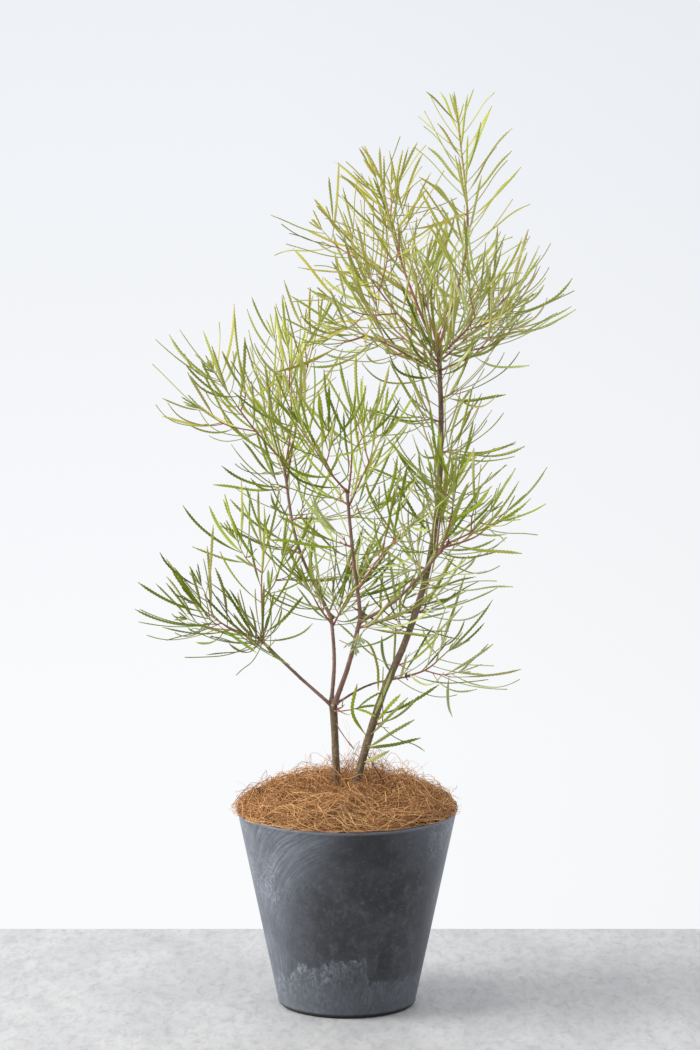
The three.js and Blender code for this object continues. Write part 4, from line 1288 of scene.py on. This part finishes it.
# The stone mix: the tones that it has, with painted light on the left side, a painted highlight for the rim and
# painted shade under the lip and in the gap under the foot, and where its flow parted and what it left low on
# the wall, in metres round the wall from the middle of the front, and in metres up
stone = {
    "body": [(34, 35, 37), (58, 60, 65)],  # the darker clouds and the paler ones
    "darkMottle": (28, 29, 31),
    "paleMottle": (76, 79, 85),
    # paler wash on the left, low on the wall: partly the mix's own brushed wash, partly painted light from the
    # window on the left
    "brushedPaleAndLit": (86, 90, 97),
    "paleRightEdge": (92, 96, 103),
    # dark tongue at the top of the front: partly the mix's own tone, partly painted shade under the lip and the
    # mulch
    "tongueAndLipShade": (24, 25, 28),
    "flow": (88, 92, 100),
    "streaks": (136, 142, 150),
    "faintStreaks": (92, 96, 103),
    "crackle": (150, 156, 163),
    "band": (84, 88, 95),
    "patch": (88, 92, 98),
    "drips": (138, 144, 151),
    "patchEdge": (142, 148, 155),
    # painted highlight along the rounded lip of the rim
    "rim": (112, 117, 124),
    "darkSpeckle": (33, 34, 37),
    "paleSpeckle": (88, 92, 99),
    # painted shade for the gap under the recessed foot
    "foot": (15, 15, 17),
    "meanRadius": 0.105,  # of the wall, for what is measured round it
    "parting": 0.021,
    "archFoot": 0.03,
    "archWidth": 0.74,  # against its height
    "patchLeft": [-0.09, -0.074],
    "patchRight": [0.031, 0.026],
    "patchHeight": 0.026,  # above the band, at the middle of the front
    "patchSlope": 0.165,
    "bandHeight": 0.041,
}


def potStone():
    skin, tree = newSkin("potStone", (42, 44, 48), 0.46, Specular_IOR_Level=0.45)
    where = placeOnPiece(tree)
    x, y, z = addNode(tree, "ShaderNodeSeparateXYZ", None, Vector=where).outputs

    def reckon(operation, *values):
        node = addNode(tree, "ShaderNodeMath", {"operation": operation})
        for socket, value in zip(node.inputs, values):
            setInput(tree, socket, value)
        return node.outputs[0]

    def times(*shares):
        return functools.reduce(lambda a, b: reckon("MULTIPLY", a, b), shares)

    def plus(*parts):
        return functools.reduce(lambda a, b: reckon("ADD", a, b), parts)

    def gap(first, second):
        return reckon("SUBTRACT", first, second)

    def stretch(value, *ends):
        return stretchTo(tree, value, *ends)

    def grain(*settings):
        return noiseOn(tree, where, *settings)

    def brushed(across, upright, *settings):
        return noiseOn(tree, placeOnPiece(tree, (across, across, upright)), 1.0, *settings)

    def layOn(share, tone):
        nonlocal colour
        colour = blendColours(tree, share, colour, tone)

    # the stone mix flowed down from the rim in arches, unrolled here round the pot
    radius = reckon("SQRT", plus(times(x, x), times(y, y)))
    unrolled = times(reckon("ARCSINE", reckon("DIVIDE", x, radius)), stone["meanRadius"])
    stir = stretch(grain(9.0, 3, 0.5), 0.3, 0.7, -0.012, 0.012)
    offset = plus(gap(unrolled, stone["parting"]), stir)
    sideways, upright = reckon("DIVIDE", offset, stone["archWidth"]), plus(gap(z, stone["archFoot"]), stir)
    arch = reckon("SQRT", plus(times(sideways, sideways), times(upright, upright)))
    turned = reckon("ARCTAN2", sideways, upright)
    flow = addNode(tree, "ShaderNodeCombineXYZ", None, X=times(arch, 620.0), Y=times(turned, 4.5),
                   Z=times(y, 12.0)).outputs[0]
    streaks = noiseOn(tree, flow, 0.72, 7, 0.68, 0.25)
    patches, clouds, mottle = grain(30, 4, 0.6, 0.8), grain(24, 6, 0.62, 0.6), grain(100, 8, 0.76, 0.6)
    colour = blendColours(tree, stretch(clouds, 0.38, 0.66), *stone["body"])
    layOn(stretch(mottle, 0.48, 0.6, 0, 0.5), stone["darkMottle"])
    layOn(stretch(mottle, 0.47, 0.37, 0, 0.5), stone["paleMottle"])
    # it parted below the rim; the front middle is darker towards the rim, partly the mix's dark tongue and
    # partly painted shade under the lip and the mulch; the left side is paler low on the wall, partly a brushed
    # pale wash and partly painted light from the window on that side; and the right edge is paler, in brushed
    # streaks
    beside = reckon("ABSOLUTE", offset)
    apart = gap(beside, times(gap(0.215, z), 0.2))
    outerArch = times(stretch(arch, 0.14, 0.19), stretch(beside, 0.01, 0.07),
                      stretch(unrolled, 0.02, 0.07, 1, 0.75))
    # brushed streaks that carry the paler wash, and on the left the painted light from the window
    brushedPaleAndLit = stretch(brushed(260, 26, 5, 0.65), 0.35, 0.65, 0.5, 1.2)
    # paler towards the left low on the wall: partly a brushed wash, partly painted light from the window on
    # that side
    layOn(times(stretch(unrolled, 0.0, -0.09, 0, 0.5), stretch(z, 0.19, 0.14), brushedPaleAndLit), stone["brushedPaleAndLit"])
    # paler towards the right edge, in brushed streaks
    layOn(times(stretch(unrolled, 0.06, 0.12, 0, 0.36), brushedPaleAndLit), stone["paleRightEdge"])
    # painted shade under the lip and the mulch, over the mix's darker tongue at the middle of the front
    layOn(times(stretch(z, 0.13, 0.2), stretch(apart, 0.035, 0.005, 0, 0.7)), stone["tongueAndLipShade"])
    drawn = times(stretch(streaks, 0.42, 0.72), stretch(patches, 0.36, 0.62, 0.25, 1.0),
                  stretch(unrolled, 0.01, 0.06, 1, 0.4), stretch(outerArch, 0.15, 0.6, 0.25, 1))
    layOn(times(outerArch, 0.7), stone["flow"])
    layOn(times(drawn, outerArch, 0.95), stone["streaks"])
    layOn(times(drawn, 0.12), stone["faintStreaks"])
    # whitish crackle where the streaks turn down
    crackle, tufts = stretch(grain(300, 6, 0.8, 0.5), 0.5, 0.6), grain(38, 4, 0.65, 0.8)
    leftSide = times(stretch(unrolled, -0.072, -0.088), stretch(z, 0.19, 0.17))
    rightCorner = times(stretch(unrolled, 0.088, 0.1), stretch(z, 0.165, 0.18))
    column = times(reckon("MAXIMUM", leftSide, rightCorner), stretch(tufts, 0.4, 0.52))
    scuffs = reckon("MAXIMUM", times(stretch(tufts, 0.5, 0.62), stretch(apart, 0.07, 0.105)), column)
    layOn(times(scuffs, stretch(z, 0.1, 0.13), crackle, 0.6), stone["crackle"])
    # a paler ragged patch low on the front of the wall, and a paler band below it, all round
    ragged = stretch(grain(34, 3, 0.5), 0.3, 0.7, -0.005, 0.005)
    fine = stretch(grain(150, 4, 0.6), 0.3, 0.7, -0.0022, 0.0022)
    strokes = stretch(brushed(240, 36, 5, 0.7), 0.35, 0.65, -0.005, 0.005)
    drips = stretch(brushed(150, 90, 6, 0.75, 1.2), 0.48, 0.62)
    shifted = plus(unrolled, times(ragged, 1.5), fine)
    patch = times(stretch(shifted, *stone["patchLeft"]), stretch(shifted, *stone["patchRight"]),
                  stretch(y, 0.02, 0.0))
    crest = plus(times(unrolled, stone["patchSlope"]), stone["patchHeight"])
    top = plus(times(patch, crest), stone["bandHeight"])
    under = gap(top, plus(z, ragged, fine, strokes))
    low = stretch(under, -0.0008, 0.002)
    band = stretch(plus(z, ragged), 0.046, 0.03)
    layOn(times(band, stretch(brushed(420, 60, 5, 0.65), 0.4, 0.7, 0.2, 0.6)), stone["band"])
    fromLeft = times(stretch(unrolled, 0.015, -0.045, 0.35, 1), stretch(y, 0.03, -0.02, 0.3, 1))
    layOn(times(low, fromLeft, 0.42), stone["patch"])
    layOn(times(stretch(under, 0.03, 0.004, 0.25, 1), low, fromLeft, drips, 0.7), stone["drips"])
    lip = stretch(reckon("ABSOLUTE", gap(under, 0.0015)), 0.0016, 0.0004)
    layOn(times(lip, patch, stretch(drips, 0.0, 1.0, 0.2, 1.0), 0.55), stone["patchEdge"])
    side = stretch(reckon("ABSOLUTE", gap(shifted, 0.0285)), 0.0018, 0.0006)
    layOn(times(side, low, stretch(z, 0.03, 0.05), patch, 0.4), stone["patchEdge"])
    # a painted highlight along the rim, speckle all over, and painted shade in the gap under the foot
    speckle = grain(240, 5, 0.7)
    # painted highlight along the rim's lip
    layOn(times(stretch(z, 0.2125, 0.2155), 0.45), stone["rim"])
    layOn(stretch(speckle, 0.56, 0.74, 0, 0.45), stone["darkSpeckle"])
    layOn(stretch(speckle, 0.44, 0.28, 0, 0.4), stone["paleSpeckle"])
    # painted shade in the gap under the foot
    layOn(stretch(z, 0.0055, 0.0035), stone["foot"])
    return finishSkin(skin, colour, speckle, 0.12, 0.0004, stretch(clouds, 0.3, 0.7, 0.4, 0.56))


def pottingSoil():
    skin, tree = newSkin("pottingSoil", (58, 44, 34), 0.95)
    grain = noiseOn(tree, placeOnPiece(tree), 260, 6, 0.7)
    colour = blendColours(tree, stretchTo(tree, grain, 0.35, 0.7), (40, 30, 24), (84, 64, 48))
    return finishSkin(skin, colour, grain, 0.8, 0.002)


potHeap, potTurns = newHeap(), turnsOf(pot["sides"])
addRings(potHeap, [flatRing(radius, z, potTurns) for radius, z in potProfile()], 0, pot["floor"])
makePiece("stonePot", potHeap, [potStone()], ["pot"], crease=50)
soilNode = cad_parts["soil"]
soilNode.data.materials.clear()
soilNode.data.materials.append(pottingSoil())
print("pot, soil and mulch made")

# Stage: a pale floor that ends behind the pot, in millimetres, and what the camera sees behind it
stage = {
    "floorHalfWidth": 3000,
    "floorFront": -3400,
    "floorBack": 332,
    "floorDepth": 40,
    "floorPale": (176, 175, 172),
    "floorGrey": (164, 163, 161),
    "floorGrain": (136, 135, 134),
    "floorPits": (96, 96, 95),
    "roomLight": (238, 241, 248),
    "roomStrength": 1.345,
    "backdropHigh": (238, 241, 246),  # at eye height
    "backdropLow": (250, 251, 253),  # and well below it
    "backdropRight": 0.965,  # share of that brightness on the right
}


def paleFloor():
    skin, tree = newSkin("paleFloor", stage["floorPale"], 0.7)
    broad = noiseOn(tree, placeOnPiece(tree, (11, 6, 11)), 1.0, 8, 0.7, 0.5)
    fine = noiseOn(tree, placeOnPiece(tree, (90, 34, 90)), 1.0, 8, 0.78, 0.5)
    pits = noiseOn(tree, placeOnPiece(tree), 60, 3, 0.6)
    colour = blendColours(tree, stretchTo(tree, broad, 0.4, 0.62), stage["floorPale"], stage["floorGrey"])
    colour = blendColours(tree, stretchTo(tree, fine, 0.46, 0.66, 0, 0.6), colour, stage["floorGrain"])
    colour = blendColours(tree, stretchTo(tree, pits, 0.7, 0.75, 0, 0.5), colour, stage["floorPits"])
    return finishSkin(skin, colour)


wide, deep = stage["floorHalfWidth"] * mm, stage["floorDepth"] * mm
front, back = stage["floorFront"] * mm, stage["floorBack"] * mm
floorOutline = [(-wide, front), (wide, front), (wide, back), (-wide, back)]
corners = [(x, y, z) for z in (-deep, 0) for x, y in floorOutline]
faces = [(3, 2, 1, 0), (4, 5, 6, 7), (0, 1, 5, 4), (1, 2, 6, 5), (2, 3, 7, 6), (3, 0, 4, 7)]
floorMesh = bpy.data.meshes.new("floor")
floorMesh.from_pydata(corners, [], faces)
floorMesh.materials.append(paleFloor())
floor = bpy.data.objects.new("floor", floorMesh)
bpy.context.scene.collection.objects.link(floor)
floor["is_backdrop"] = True

# The room lights the plant evenly. Straight behind it the lit wall shows, which is not quite as bright
world = bpy.data.worlds.new("studio")
bpy.context.scene.world = world
world.use_nodes = True
room = world.node_tree
roomLight, backdrop = room.nodes["Background"], room.nodes.new("ShaderNodeBackground")
roomLight.inputs["Color"].default_value = (*linear(stage["roomLight"]), 1)
roomLight.inputs["Strength"].default_value = stage["roomStrength"]
wayOut = room.nodes.new("ShaderNodeTexCoord").outputs["Generated"]
wayRight, _, wayDown = addNode(room, "ShaderNodeSeparateXYZ", None, Vector=wayOut).outputs
glow = blendColours(room, stretchTo(room, wayDown, -0.04, -0.2), stage["backdropHigh"], stage["backdropLow"])
room.links.new(glow, backdrop.inputs["Color"])
room.links.new(stretchTo(room, wayRight, -0.02, 0.075, 1, stage["backdropRight"]), backdrop.inputs["Strength"])
either = room.nodes.new("ShaderNodeMixShader")
room.links.new(room.nodes.new("ShaderNodeLightPath").outputs["Is Camera Ray"], either.inputs[0])
room.links.new(roomLight.outputs[0], either.inputs[1])
room.links.new(backdrop.outputs[0], either.inputs[2])
room.links.new(either.outputs[0], room.nodes["World Output"].inputs["Surface"])

# A soft window light from the left, in metres and watts
window = {"place": (-2.95, -0.6, 1.9), "aim": (0, 0, 0.45), "width": 2.0, "height": 2.0, "watts": 153}
lamp = bpy.data.lights.new("windowLeft", "AREA")
lamp.shape, lamp.size, lamp.size_y = "RECTANGLE", window["width"], window["height"]
lamp.energy = window["watts"]
holder = bpy.data.objects.new("windowLeft", lamp)
holder.location = window["place"]
holder.rotation_euler = (Vector(window["aim"]) - Vector(window["place"])).to_track_quat("-Z", "Y").to_euler()
bpy.context.scene.collection.objects.link(holder)

# Camera: almost five metres back and 1.3 m up, looking a little down
camera = {"place": (0.0033, -4.88, 1.29), "tilt": 8.84, "focus": 4560, "frame": 1050, "sensor": 36}
lens = bpy.data.cameras.new("viewpoint")
lens.sensor_width = camera["sensor"]
lens.lens = camera["focus"] / camera["frame"] * camera["sensor"]
lens.clip_end = 50
viewpoint = bpy.data.objects.new("viewpoint", lens)
viewpoint.location = camera["place"]
viewpoint.rotation_euler = (math.radians(90 - camera["tilt"]), 0, 0)
bpy.context.scene.collection.objects.link(viewpoint)
bpy.context.scene.camera = viewpoint
bpy.context.scene.view_settings.view_transform = "Standard"  # plain photographic tones
print("stage, lights and camera set")

low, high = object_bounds()
